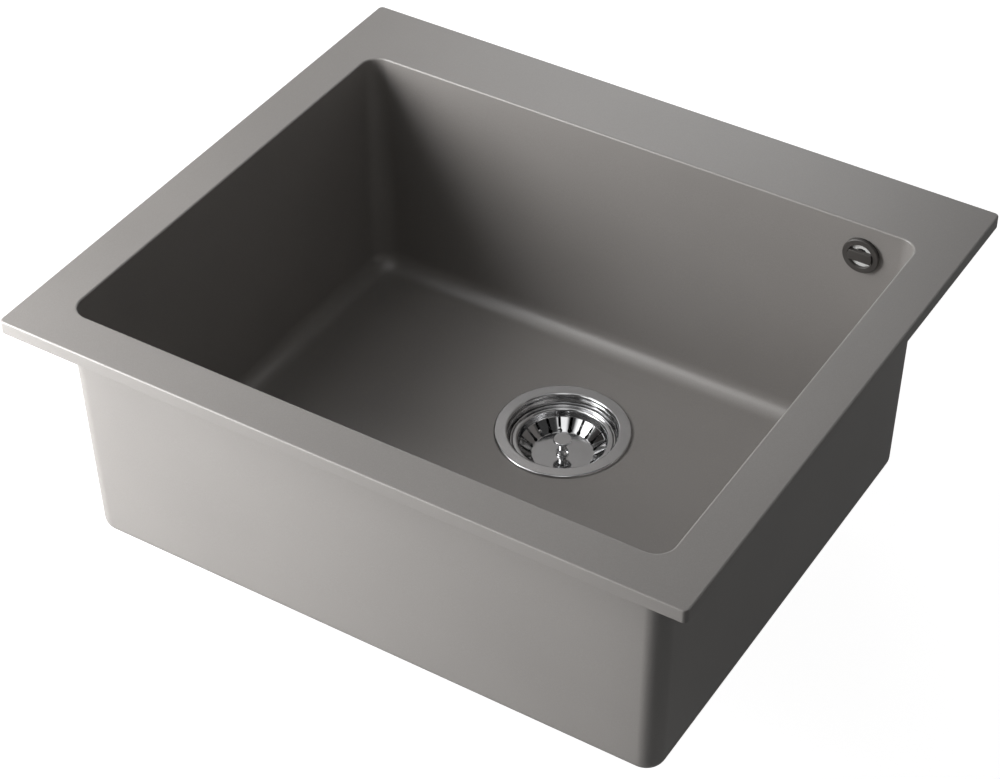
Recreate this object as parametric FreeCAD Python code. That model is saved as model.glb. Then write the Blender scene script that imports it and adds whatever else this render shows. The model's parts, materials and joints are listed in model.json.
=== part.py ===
"""Inset kitchen sink: a moulded stone composite bowl with a rim, a basket waste and an overflow.

Frame: X to the right, Y to the back, Z up, in millimetres. The origin lies in the middle of the
front strip of the rim's underside, the face that rests on the worktop, so the worktop is at Z = 0.
Depths inside the waste are counted down from the top of its flange.
"""
import FreeCAD
import Part
import math
import os

# Rim: the plate that shows above the worktop
rim_width = 570.0
rim_depth = 500.0
rim_thickness = 11.0
rim_corner_radius = 4.0
rim_edge_radius = 1.2
seat_strip = 10.0
seat_relief = 2.0

# Bowl: the opening, its walls and its floor
side_land = 36.0
front_land = 36.0
back_land = 67.0
opening_corner_radius = 15.0
opening_edge_radius = 2.0
wall_at_rim = 5.0
wall_draft_degrees = 1.0
floor_depth = 210.0
floor_corner_radius = 20.0
floor_fillet = 13.0
floor_fall = 1.5
floor_thickness = 6.0
outer_corner_radius = 20.0
outer_bottom_radius = 10.0
root_fillet = 6.0

# Places of the waste and of the overflow
waste_right = 7.5
waste_from_back = 117.0
overflow_from_side = 46.0
overflow_below_top = 27.5

# Gaps and fits
cut_overrun = 5.0
part_gap = 0.3
fit_clearance = 0.03
screw_clearance = 0.3
longest_turn_share = 0.48
full_turn = 360.0

# Waste hole and seat in the floor
waste_hole_clearance = 0.8
waste_seat_margin = 3.0
flange_seal_thickness = 1.0
flange_seal_setback = 1.4

# Strainer cup: a pressed sheet, with widths from its mouth and depths below the flange's top
cup_sheet = 0.9
lip_radius = 44.8
lip_bend = 1.6
flange_width = 12.2
flange_bevel = 0.9
flange_drop = 1.1
step_depth = 5.0
step_height = 0.8
step_width = 1.4
ledge_depth = 11.0
ledge_width = 4.5
ledge_bend = 1.0
well_lean = 1.0
well_bend = 4.0
hub_radius = 9.0
dish_depth = 7.0
dish_bend = 1.5
spoke_count = 3
spoke_width = 5.0
window_margin = 1.5

# Basket: a pressed sheet with keyhole slots
basket_sheet = 0.7
basket_rim_drop = 1.2
basket_rim_bevel = 1.0
basket_rim_width = 4.2
basket_side_gap = 1.4
basket_wall_lean = 1.2
basket_floor_depth = 25.3
basket_bend = 1.5
slot_ring_width = 10.0
slot_ring_height = 9.1
slot_count = 21
slot_width = 1.7
slot_hole_radius = 1.6
slot_top_margin = 1.0
slot_foot_margin = 1.6
slot_start_degrees = 5.0

# Basket seal, washer, screw and knob
basket_seal_thickness = 3.0
basket_seal_inset = 4.6
seal_lip_spread = 3.5
seal_lip_overlap = 4.0
seal_lip_width = 1.8
seal_lip_height = 1.0
seal_plate_gap = 2.0
seal_washer_radius = 10.0
seal_washer_thickness = 1.0
basket_screw_radius = 2.0
basket_screw_head_radius = 3.8
basket_screw_head_height = 2.2
basket_screw_bite = 7.0
knob_height = 15.6
knob_cap_radius = 7.7
knob_cap_thickness = 2.2
knob_neck_radius = 3.4
knob_foot_radius = 5.2
knob_foot_height = 4.0
knob_edge_radius = 0.8
knob_throat_radius = 2.5

# Waste body: a plastic moulding clamped under the floor
body_seal_thickness = 3.0
body_wall = 3.0
body_flange_width = 6.0
body_flange_thickness = 4.0
body_under_cup = 5.0
funnel_height = 20.0
outlet_thread_radius = 23.9
outlet_wall = 3.4
outlet_length = 23.0
body_bend = 3.0
boss_radius = 7.0
boss_height = 18.0
boss_web = 2.6
boss_web_count = 4
insert_radius = 4.5
insert_height = 12.0
clamp_screw_radius = 3.0
clamp_screw_head_radius = 5.5
clamp_screw_head_height = 3.5
clamp_screw_end_gap = 1.5
drive_width = 1.2
drive_depth = 1.6
head_edge_radius = 0.8

# Overflow pipe and its two threaded joints
pipe_radius = 10.0
pipe_wall = 1.5
pipe_bend = 32.0
socket_clearance = 0.2
socket_depth = 12.0
socket_end_gap = 1.0
spigot_wall = 2.6
spigot_length = 19.0
joint_seal_thickness = 3.5
nut_overlap = 12.0
nut_lip = 2.5
nut_wall = 3.0
nut_grip_count = 10
nut_grip_radius = 1.6
nut_edge_radius = 0.8
port_below_floor = 21.0

# Overflow elbow and the pad moulded on the back wall
pad_half_width = 20.0
pad_below_centre = 20.0
pad_thickness = 6.0
pad_corner_radius = 8.0
overflow_hole_radius = 11.0
elbow_flange_overlap = 3.2
elbow_flange_thickness = 3.0
rear_seal_thickness = 1.5
elbow_bore_radius = 9.6
elbow_wall = 2.4
elbow_reach = 17.0
elbow_bend = 13.0
elbow_drop = 34.0
elbow_boss_radius = 4.4
elbow_boss_length = 13.0
elbow_web = 3.0
elbow_insert_radius = 3.2
elbow_insert_length = 9.0

# Overflow cover in the bowl
cover_overlap = 4.3
cover_opening_inset = 0.6
cover_thickness = 3.0
cover_edge_radius = 1.0
cover_seal_width = 3.4
cover_seal_thickness = 0.8
cover_bar_height = 8.6
cover_bar_thickness = 1.6
bar_cap_thickness = 1.2
bar_cap_margin = 0.3
cover_screw_radius = 2.0
cover_screw_head_radius = 3.6
cover_screw_head_height = 1.0
cover_screw_end_gap = 1.0

# Radii that follow from the cup's mouth, the outlet, the pipe and the overflow hole
flange_radius = lip_radius + flange_width
waste_seat_radius = flange_radius + waste_seat_margin
waste_hole_radius = lip_radius + cup_sheet + waste_hole_clearance
ledge_outer_radius = lip_radius - step_width
ledge_inner_radius = ledge_outer_radius - ledge_width
well_radius = ledge_inner_radius - well_lean
basket_rim_radius = ledge_outer_radius - basket_side_gap
basket_throat_radius = basket_rim_radius - basket_rim_bevel - basket_rim_width
basket_shoulder_radius = basket_throat_radius - basket_wall_lean
basket_floor_radius = basket_shoulder_radius - slot_ring_width
basket_seal_radius = basket_floor_radius - basket_seal_inset
seal_lip_radius = basket_seal_radius + seal_lip_spread
dish_radius = seal_lip_radius - seal_lip_overlap
outlet_bore_radius = outlet_thread_radius - outlet_wall
spigot_radius = pipe_radius + socket_clearance + spigot_wall
elbow_radius = elbow_bore_radius + elbow_wall
elbow_flange_radius = overflow_hole_radius + elbow_flange_overlap
cover_radius = overflow_hole_radius + cover_overlap
cover_opening_radius = overflow_hole_radius - cover_opening_inset

# Depths below the flange's top that follow from the basket's floor
basket_shoulder_depth = basket_floor_depth - slot_ring_height
basket_under_depth = basket_floor_depth + basket_sheet
well_depth = basket_under_depth + basket_seal_thickness + seal_plate_gap
hub_depth = well_depth + dish_depth

# Levels and places that follow from the sizes above
front_edge_y = -seat_strip / 2
back_edge_y = front_edge_y + rim_depth
opening_half_width = rim_width / 2 - side_land
opening_front_y = front_edge_y + front_land
opening_back_y = back_edge_y - back_land
wall_slope = math.tan(math.radians(wall_draft_degrees))
floor_edge_z = rim_thickness - floor_depth
floor_seat_z = floor_edge_z - floor_fall
underside_z = floor_seat_z - floor_thickness
waste_y = opening_back_y - waste_from_back
flange_top_z = floor_seat_z + flange_seal_thickness + flange_drop
overflow_x = opening_half_width - overflow_from_side
overflow_z = rim_thickness - overflow_below_top
overflow_wall_y = opening_back_y - wall_slope * overflow_below_top
overflow_pad_y = opening_back_y + wall_at_rim + pad_thickness
elbow_axis_y = overflow_pad_y + rear_seal_thickness + elbow_reach
body_top_z = underside_z - body_seal_thickness
port_z = underside_z - port_below_floor
body_foot_z = flange_top_z - hub_depth - cup_sheet - body_under_cup
funnel_foot_z = body_foot_z - funnel_height
outlet_end_z = funnel_foot_z - outlet_length
boss_top_z = body_foot_z


def point(x, y, z):
    return FreeCAD.Vector(x, y, z)


def waste_point(height):
    """The point of the waste's axis at a height."""
    return point(waste_right, waste_y, height)


def rounded_edges(corners, radii, closed):
    """Straight runs through the corners, with a tangent arc of the given radius at each corner.

    A radius is limited to what its two runs leave room for: half a run that turns at both ends,
    and the whole of a run that turns at one.
    """
    count = len(corners)
    sharp = [radius <= 0 for radius in radii]
    if not closed:
        sharp[0] = True
        sharp[-1] = True
    turns = []
    for place, corner in enumerate(corners):
        if sharp[place]:
            turns.append((corner, None, corner))
            continue
        following = (place + 1) % count
        before = corners[place - 1] - corner
        after = corners[following] - corner
        room = longest_turn_share * min(
            before.Length * (2 if sharp[place - 1] else 1),
            after.Length * (2 if sharp[following] else 1),
        )
        half = before.getAngle(after) / 2
        reach = min(radii[place] / math.tan(half), room)
        radius = reach * math.tan(half)
        before.normalize()
        after.normalize()
        inward = (before + after).normalize()
        middle = corner + inward * (radius / math.sin(half) - radius)
        turns.append((corner + before * reach, middle, corner + after * reach))
    edges = []
    for place, (enter, middle, leave) in enumerate(turns):
        if middle is not None:
            edges.append(Part.Arc(enter, middle, leave).toShape())
        if closed or place < count - 1:
            following = turns[(place + 1) % count][0]
            edges.append(Part.LineSegment(leave, following).toShape())
    return edges


def rectangle(half_width, front_y, back_y, radius, height):
    """A closed wire of four sides and four corner arcs, level, at a height."""
    corners = [
        point(-half_width, front_y, height),
        point(half_width, front_y, height),
        point(half_width, back_y, height),
        point(-half_width, back_y, height),
    ]
    return Part.Wire(rounded_edges(corners, [radius] * len(corners), True))


def plate(half_width, front_y, back_y, radius, low, high):
    """A level slab with rounded corners in plan."""
    face = Part.Face(rectangle(half_width, front_y, back_y, radius, low))
    return face.extrude(point(0, 0, high - low))


def turned(outline, radii, centre):
    """A solid of revolution about the upright line through centre; the outline holds (radius, height)."""
    corners = [point(radius, 0, height) for radius, height in outline]
    face = Part.Face(Part.Wire(rounded_edges(corners, radii, True)))
    solid = face.revolve(point(0, 0, 0), point(0, 0, 1), full_turn)
    solid.translate(centre)
    return solid


def ring(outer_radius, inner_radius, low, high, centre):
    """A plain upright ring between two heights."""
    outline = [(inner_radius, low), (outer_radius, low), (outer_radius, high), (inner_radius, high)]
    return turned(outline, [0] * len(outline), centre)


def cylinder(radius, start, along):
    """A round bar from start, as long and in the direction of along."""
    return Part.makeCylinder(radius, along.Length, start, along)


def bent_sheet(profile, bends, thickness):
    """The outline and corner radii of a pressed sheet.

    The profile lists (radius, height) along the sheet's upper side, from its outer edge inwards.
    The other side lies one thickness to the left of that direction. Each bend is the radius on
    the hollow side of its corner, so the full side has the bend plus the thickness.
    """
    corners = [point(radius, 0, height) for radius, height in profile]
    normals = []
    for start, end in zip(corners, corners[1:]):
        along = (end - start).normalize()
        normals.append(point(-along.z, 0, along.x))
    far_side, near_radii, far_radii = [], [], []
    for place, corner in enumerate(corners):
        before = normals[max(place - 1, 0)]
        after = normals[min(place, len(normals) - 1)]
        far_side.append(corner + (before + after) * (thickness / (1 + before.dot(after))))
        turns_left = before.x * after.z > before.z * after.x
        near_radii.append(bends[place] + thickness if turns_left else bends[place])
        far_radii.append(bends[place] if turns_left else bends[place] + thickness)
    outline = [(corner.x, corner.z) for corner in corners + far_side[::-1]]
    ends = (0, len(corners) - 1)
    radii = near_radii + far_radii[::-1]
    for end in ends:
        radii[end] = 0
        radii[len(radii) - 1 - end] = 0
    return outline, radii


def tube(corners, bends, radius):
    """A round bar along straight runs and tangent arcs: a cylinder or a piece of a torus for each."""
    pieces = []
    for edge in rounded_edges(corners, bends, False):
        start = edge.valueAt(edge.FirstParameter)
        along = edge.tangentAt(edge.FirstParameter)
        if edge.Curve.TypeId == "Part::GeomLine":
            pieces.append(Part.makeCylinder(radius, edge.Length, start, along))
        else:
            section = Part.Face(Part.Wire(Part.Circle(start, along, radius).toShape()))
            turn = math.degrees(edge.Length / edge.Curve.Radius)
            pieces.append(section.revolve(edge.Curve.Center, edge.Curve.Axis, turn))
    return pieces[0].fuse(pieces[1:]).removeSplitter()


def aimed(shape, origin, direction):
    """A copy of a shape drawn about upright Z, turned to a direction and moved to an origin."""
    copy = shape.copy()
    copy.Placement = FreeCAD.Placement(origin, FreeCAD.Rotation(point(0, 0, 1), direction))
    return copy


def edges_at(shape, height, half_width, front_y, back_y):
    """The shape's edges that lie level at a height, inside a box in plan."""
    found = []
    for edge in shape.Edges:
        box = edge.BoundBox
        level = abs(box.ZMin - height) < fit_clearance and abs(box.ZMax - height) < fit_clearance
        inside = box.XMin > -half_width and box.XMax < half_width
        if level and inside and box.YMin > front_y and box.YMax < back_y:
            found.append(edge)
    return found


def fillet_level(shape, height, radius, half_width, front_y, back_y):
    """Rounds the level edges at a height that lie inside a box in plan, one overrun larger."""
    found = edges_at(
        shape, height, half_width + fit_clearance, front_y - fit_clearance, back_y + fit_clearance
    )
    return shape.makeFillet(radius, found)


# The bowl


def rim():
    """The rim plate: a rounded upper edge, and below it a relief that leaves the seat strip."""
    top = plate(rim_width / 2, front_edge_y, back_edge_y, rim_corner_radius, 0, rim_thickness)
    top = fillet_level(top, rim_thickness, rim_edge_radius, rim_width / 2, front_edge_y, back_edge_y)
    relief = plate(
        rim_width / 2 - seat_strip,
        front_edge_y + seat_strip,
        back_edge_y - seat_strip,
        rim_corner_radius,
        -cut_overrun,
        seat_relief,
    )
    return top.cut(relief)


def outer_walls():
    """The outer walls of the bowl, with the draft of the inner ones and rounded at the foot."""
    half_width = opening_half_width + wall_at_rim
    front_y = opening_front_y - wall_at_rim
    back_y = opening_back_y + wall_at_rim
    inset = wall_slope * (rim_thickness - underside_z)
    top = rectangle(half_width, front_y, back_y, outer_corner_radius, rim_thickness)
    foot = rectangle(
        half_width - inset, front_y + inset, back_y - inset, outer_corner_radius, underside_z
    )
    block = Part.makeLoft([top, foot], True, True)
    return fillet_level(block, underside_z, outer_bottom_radius, half_width, front_y, back_y)


def cavity():
    """The space inside the bowl: drafted walls, a rounded foot and a floor that falls to the waste."""
    inset = wall_slope * floor_depth
    half_width = opening_half_width - inset
    front_y = opening_front_y + inset
    back_y = opening_back_y - inset
    mouth = rectangle(
        opening_half_width, opening_front_y, opening_back_y, opening_corner_radius, rim_thickness
    )
    foot = rectangle(half_width, front_y, back_y, floor_corner_radius, floor_edge_z)
    space = Part.makeLoft([mouth, foot], True, True)
    space = fillet_level(space, floor_edge_z, floor_fillet, half_width, front_y, back_y)
    return space.fuse(floor_dish(half_width, front_y, back_y)).removeSplitter()


def floor_dish(half_width, front_y, back_y):
    """The fall of the floor: four slopes from the foot of the walls to the round waste seat."""
    edge = rectangle(
        half_width - floor_fillet,
        front_y + floor_fillet,
        back_y - floor_fillet,
        floor_corner_radius,
        floor_edge_z,
    )
    corners = [vertex.Point for vertex in edge.OrderedVertexes]
    bearings = [math.atan2(corner.y - waste_y, corner.x - waste_right) for corner in corners]
    arcs = []
    for place, bearing in enumerate(bearings):
        following = bearings[(place + 1) % len(bearings)]
        half = math.remainder(following - bearing, math.tau) / 2
        arc_points = [
            waste_point(floor_seat_z)
            + point(math.cos(angle), math.sin(angle), 0) * waste_seat_radius
            for angle in (bearing, bearing + half, bearing + 2 * half)
        ]
        arcs.append(Part.Arc(*arc_points).toShape())
    return Part.makeLoft([edge, Part.Wire(arcs)], True, True)


def overflow_pad():
    """The thickening on the back wall that gives the overflow elbow a flat seat."""
    low = overflow_z - pad_below_centre
    block = Part.makeBox(
        2 * pad_half_width,
        pad_thickness + wall_at_rim / 2,
        rim_thickness / 2 - low,
        point(overflow_x - pad_half_width, overflow_pad_y - pad_thickness - wall_at_rim / 2, low),
    )
    feet = [
        edge
        for edge in block.Edges
        if edge.BoundBox.YLength > pad_thickness and edge.BoundBox.ZMax < overflow_z
    ]
    return block.makeFillet(pad_corner_radius, feet)


def sink_bowl():
    """Rim, walls and floor in one moulding, with the holes for the waste and the overflow."""
    half_width = opening_half_width + wall_at_rim
    front_y = opening_front_y - wall_at_rim
    back_y = opening_back_y + wall_at_rim
    body = rim().fuse(outer_walls()).removeSplitter()
    body = fillet_level(body, seat_relief, root_fillet, half_width, front_y, back_y)
    body = body.fuse(overflow_pad()).cut(cavity())
    body = fillet_level(
        body, rim_thickness, opening_edge_radius, opening_half_width, opening_front_y, opening_back_y
    )
    waste_hole = cylinder(
        waste_hole_radius,
        waste_point(underside_z - cut_overrun),
        point(0, 0, floor_thickness + 2 * cut_overrun),
    )
    overflow_hole = cylinder(
        overflow_hole_radius,
        point(overflow_x, overflow_wall_y - cut_overrun, overflow_z),
        point(0, overflow_pad_y - overflow_wall_y + 2 * cut_overrun, 0),
    )
    return body.cut(waste_hole).cut(overflow_hole)


# The waste


def flange_seal():
    """The flat ring between the cup's flange and the floor."""
    return ring(
        flange_radius - flange_bevel - cup_sheet - part_gap,
        waste_hole_radius + flange_seal_setback,
        floor_seat_z,
        floor_seat_z + flange_seal_thickness,
        waste_point(0),
    )


def cup_profile():
    """The cup's upper side from the flange's edge to the hub, as (radius, height) with its bends."""
    step_radius = (lip_radius + ledge_outer_radius) / 2
    depths = [
        (flange_radius, flange_drop + flange_seal_thickness - part_gap - cup_sheet / 2, 0),
        (flange_radius - flange_bevel, 0, lip_bend),
        (lip_radius, 0, lip_bend),
        (lip_radius, step_depth, ledge_bend),
        (step_radius, step_depth + step_height, ledge_bend),
        (ledge_outer_radius, ledge_depth, ledge_bend),
        (ledge_inner_radius, ledge_depth, ledge_bend),
        (well_radius, well_depth, well_bend),
        (dish_radius, well_depth, dish_bend),
        (hub_radius, hub_depth, dish_bend),
        (clamp_screw_radius + screw_clearance, hub_depth, 0),
    ]
    profile = [(radius, flange_top_z - depth) for radius, depth, bend in depths]
    return profile, [bend for radius, depth, bend in depths]


def cup_window(bearing):
    """One opening of the cup's dish, between two spokes."""
    inner_radius = hub_radius + window_margin
    outer_radius = dish_radius - window_margin
    low = flange_top_z - hub_depth - cut_overrun
    high = flange_top_z - well_depth + cut_overrun
    opening = ring(outer_radius, inner_radius, low, high, point(0, 0, 0))
    sector_angle = full_turn / spoke_count
    sector = Part.makeCylinder(
        2 * outer_radius, high - low, point(0, 0, low), point(0, 0, 1), sector_angle
    )
    opening = opening.common(sector)
    for angle in (0, sector_angle):
        spoke = Part.makeBox(
            2 * outer_radius, spoke_width, high - low, point(0, -spoke_width / 2, low)
        )
        spoke.rotate(point(0, 0, 0), point(0, 0, 1), angle)
        opening = opening.cut(spoke)
    opening.rotate(point(0, 0, 0), point(0, 0, 1), bearing)
    opening.translate(waste_point(0))
    return opening


def strainer_cup():
    """The pressed cup: domed flange, stepped wall, basket ledge, seal plate and spoked hub."""
    profile, bends = cup_profile()
    outline, radii = bent_sheet(profile, bends, cup_sheet)
    cup = turned(outline, radii, waste_point(0))
    for place in range(spoke_count):
        cup = cup.cut(cup_window(full_turn * place / spoke_count))
    return cup


def keyhole(length):
    """The cutter of one slot: a narrow slot along X that ends in a larger round hole at X = 0."""
    depth = 2 * cut_overrun
    hole = cylinder(slot_hole_radius, point(0, 0, -cut_overrun), point(0, 0, depth))
    end = cylinder(slot_width / 2, point(length, 0, -cut_overrun), point(0, 0, depth))
    slot = Part.makeBox(length, slot_width, depth, point(0, -slot_width / 2, -cut_overrun))
    return hole.fuse([slot, end]).removeSplitter()


def basket_profile():
    """The basket's upper side from its rim to the middle, as (radius, height) with its bends."""
    rim_depth_below = ledge_depth - part_gap - basket_rim_drop
    depths = [
        (basket_rim_radius, ledge_depth - part_gap - basket_sheet / 2, 0),
        (basket_rim_radius - basket_rim_bevel, rim_depth_below, basket_sheet),
        (basket_throat_radius, rim_depth_below, basket_bend),
        (basket_shoulder_radius, basket_shoulder_depth, basket_bend),
        (basket_floor_radius, basket_floor_depth, basket_bend),
        (basket_screw_radius + screw_clearance, basket_floor_depth, 0),
    ]
    profile = [(radius, flange_top_z - depth) for radius, depth, bend in depths]
    return profile, [bend for radius, depth, bend in depths]


def basket():
    """The strainer basket: a rolled rim, a sloping wall with a ring of keyhole slots, a flat floor."""
    profile, bends = basket_profile()
    outline, radii = bent_sheet(profile, bends, basket_sheet)
    body = turned(outline, radii, point(0, 0, 0))
    run = basket_shoulder_radius - basket_floor_radius
    rise = basket_floor_depth - basket_shoulder_depth
    slope_length = math.hypot(run, rise)
    slope_degrees = math.degrees(math.atan2(rise, run))
    slot = keyhole(slope_length - slot_top_margin - slot_foot_margin)
    slot.rotate(point(0, 0, 0), point(0, -1, 0), slope_degrees)
    foot_share = slot_foot_margin / slope_length
    slot.translate(
        point(
            basket_floor_radius + run * foot_share,
            0,
            flange_top_z - basket_floor_depth + rise * foot_share,
        )
    )
    slots = []
    for place in range(slot_count):
        cutter = slot.copy()
        bearing = slot_start_degrees + full_turn * place / slot_count
        cutter.rotate(point(0, 0, 0), point(0, 0, 1), bearing)
        slots.append(cutter)
    body = body.cut(slots)
    body.translate(waste_point(0))
    return body


def basket_seal():
    """The rubber disc under the basket, with a lip that closes on the cup's seal plate."""
    top = flange_top_z - basket_under_depth
    low = top - basket_seal_thickness
    lip_low = flange_top_z - well_depth + part_gap
    bore_radius = basket_screw_radius + screw_clearance
    outline = [
        (bore_radius, top),
        (basket_seal_radius, top),
        (seal_lip_radius, lip_low + seal_lip_height),
        (seal_lip_radius, lip_low),
        (seal_lip_radius - seal_lip_width, lip_low),
        (basket_seal_radius - seal_lip_width, low),
        (bore_radius, low),
    ]
    return turned(outline, [0] * len(outline), waste_point(0))


def basket_washer():
    """The steel disc that presses the seal to the basket."""
    high = flange_top_z - basket_under_depth - basket_seal_thickness
    return ring(
        seal_washer_radius,
        basket_screw_radius + screw_clearance,
        high - seal_washer_thickness,
        high,
        waste_point(0),
    )


def pan_head_screw(radius, length, head_radius, head_height):
    """A screw with its head above Z = 0 and its shank below, with a cross drive."""
    outline = [
        (0, -length),
        (radius, -length),
        (radius, 0),
        (head_radius, 0),
        (head_radius, head_height),
        (0, head_height),
    ]
    screw = turned(outline, [0, 0, 0, 0, head_edge_radius, 0], point(0, 0, 0))
    span = head_radius
    depth = min(drive_depth, head_height / 2)
    for width, breadth in ((span, drive_width), (drive_width, span)):
        slot = Part.makeBox(
            width, breadth, depth + cut_overrun, point(-width / 2, -breadth / 2, head_height - depth)
        )
        screw = screw.cut(slot)
    return screw


def basket_screw():
    """The screw that goes up through washer, seal and basket floor into the knob."""
    head_top = flange_top_z - basket_under_depth - basket_seal_thickness - seal_washer_thickness
    length = basket_under_depth - basket_floor_depth + basket_seal_thickness
    length += seal_washer_thickness + basket_screw_bite
    screw = pan_head_screw(
        basket_screw_radius, length, basket_screw_head_radius, basket_screw_head_height
    )
    return aimed(screw, waste_point(head_top), point(0, 0, -1))


def basket_knob():
    """The pull knob: a flat round cap on a waisted neck that spreads to a foot."""
    floor = flange_top_z - basket_floor_depth
    cap_low = floor + knob_height - knob_cap_thickness
    bore_radius = basket_screw_radius + fit_clearance
    bore_top = floor + basket_screw_bite + part_gap
    outline = [
        (bore_radius, floor),
        (knob_foot_radius, floor),
        (knob_foot_radius, floor + knob_foot_height / 2),
        (knob_neck_radius, floor + knob_foot_height),
        (knob_neck_radius, cap_low),
        (knob_cap_radius, cap_low),
        (knob_cap_radius, floor + knob_height),
        (0, floor + knob_height),
        (0, bore_top),
        (bore_radius, bore_top),
    ]
    edge = knob_edge_radius
    throat = knob_throat_radius
    radii = [0, edge, edge, throat, throat, edge, edge, 0, 0, 0]
    return turned(outline, radii, waste_point(0))


def body_seal():
    """The thick ring between the floor's underside and the waste body."""
    return ring(
        waste_hole_radius + body_wall + body_flange_width - part_gap,
        waste_hole_radius,
        body_top_z,
        underside_z,
        waste_point(0),
    )


def port_direction():
    """The level direction from the waste's axis to the upright run of the overflow pipe."""
    return point(overflow_x - waste_right, elbow_axis_y - waste_y, 0).normalize()


def port_mouth():
    """The centre of the side port's mouth on the waste body."""
    return waste_point(port_z) + port_direction() * (waste_hole_radius + body_wall + spigot_length)


def waste_body():
    """The plastic body: clamping flange, funnel, threaded outlet, side port and screw boss."""
    wall_radius = waste_hole_radius + body_wall
    flange_edge = wall_radius + body_flange_width
    flange_low = body_top_z - body_flange_thickness
    outside = [
        (0, body_top_z),
        (flange_edge, body_top_z),
        (flange_edge, flange_low),
        (wall_radius, flange_low),
        (wall_radius, body_foot_z),
        (outlet_thread_radius, funnel_foot_z),
        (outlet_thread_radius, outlet_end_z),
        (0, outlet_end_z),
    ]
    bend = body_bend
    solid = turned(outside, [0, 0, 0, bend, bend, 0, 0, 0], waste_point(0))
    hollow = [
        (0, body_top_z + cut_overrun),
        (waste_hole_radius, body_top_z + cut_overrun),
        (waste_hole_radius, body_foot_z),
        (outlet_bore_radius, funnel_foot_z),
        (outlet_bore_radius, outlet_end_z - cut_overrun),
        (0, outlet_end_z - cut_overrun),
    ]
    space = turned(hollow, [0, 0, bend, 0, 0, 0], waste_point(0))
    port = cylinder(
        spigot_radius,
        waste_point(port_z),
        port_direction() * (wall_radius + spigot_length),
    )
    body = solid.fuse(port).cut(space).fuse(screw_boss(solid, wall_radius))
    port_bore = cylinder(
        pipe_radius - pipe_wall,
        waste_point(port_z) + port_direction() * (well_radius + cup_sheet),
        port_direction() * (wall_radius + spigot_length),
    )
    socket = cylinder(
        pipe_radius + socket_clearance,
        port_mouth() - port_direction() * socket_depth,
        port_direction() * (socket_depth + cut_overrun),
    )
    return body.cut(port_bore).cut(socket)


def screw_boss(outside, reach):
    """The boss in the funnel that holds the brass insert, on its webs."""
    low = boss_top_z - boss_height
    boss = cylinder(boss_radius, waste_point(low), point(0, 0, boss_height))
    for place in range(boss_web_count):
        web = Part.makeBox(
            reach, boss_web, boss_height - insert_height / 2, point(0, -boss_web / 2, low)
        )
        web.rotate(point(0, 0, 0), point(0, 0, 1), full_turn * place / boss_web_count)
        web.translate(waste_point(0))
        boss = boss.fuse(web.common(outside))
    bore = cylinder(
        insert_radius + fit_clearance,
        waste_point(boss_top_z - insert_height),
        point(0, 0, insert_height + cut_overrun),
    )
    return boss.cut(bore)


def screw_insert():
    """The brass insert in the waste body's boss."""
    return ring(
        insert_radius,
        clamp_screw_radius + fit_clearance,
        boss_top_z - insert_height,
        boss_top_z,
        waste_point(0),
    )


def clamp_screw():
    """The long screw that draws the waste body up against the floor."""
    hub_z = flange_top_z - hub_depth
    length = hub_z - boss_top_z + insert_height - clamp_screw_end_gap
    screw = pan_head_screw(
        clamp_screw_radius, length, clamp_screw_head_radius, clamp_screw_head_height
    )
    return aimed(screw, waste_point(hub_z), point(0, 0, 1))


# The overflow


def joint_nut():
    """A gripped cap nut about Z: it screws over a spigot whose mouth is at Z = 0."""
    outer_radius = spigot_radius + nut_wall
    top = joint_seal_thickness + nut_lip
    thread_radius = spigot_radius + fit_clearance
    outline = [
        (thread_radius, -nut_overlap),
        (outer_radius, -nut_overlap),
        (outer_radius, top),
        (pipe_radius + socket_clearance, top),
        (pipe_radius + socket_clearance, joint_seal_thickness),
        (thread_radius, joint_seal_thickness),
    ]
    edge = nut_edge_radius
    nut = turned(outline, [0, edge, edge, 0, 0, 0], point(0, 0, 0))
    grips = []
    for place in range(nut_grip_count):
        angle = math.tau * place / nut_grip_count
        centre = point(math.cos(angle), math.sin(angle), 0) * (outer_radius + nut_grip_radius / 2)
        centre.z = -nut_overlap - cut_overrun
        grips.append(
            cylinder(nut_grip_radius, centre, point(0, 0, nut_overlap + top + 2 * cut_overrun))
        )
    return nut.cut(grips)


def joint_seal():
    """The rubber ring about Z between a spigot's mouth and its nut."""
    return ring(
        spigot_radius - part_gap,
        pipe_radius + fit_clearance,
        0,
        joint_seal_thickness,
        point(0, 0, 0),
    )


def elbow_mouth():
    """The centre of the elbow's lower mouth, where the pipe enters."""
    return point(overflow_x, elbow_axis_y, overflow_z - elbow_drop)


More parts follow.
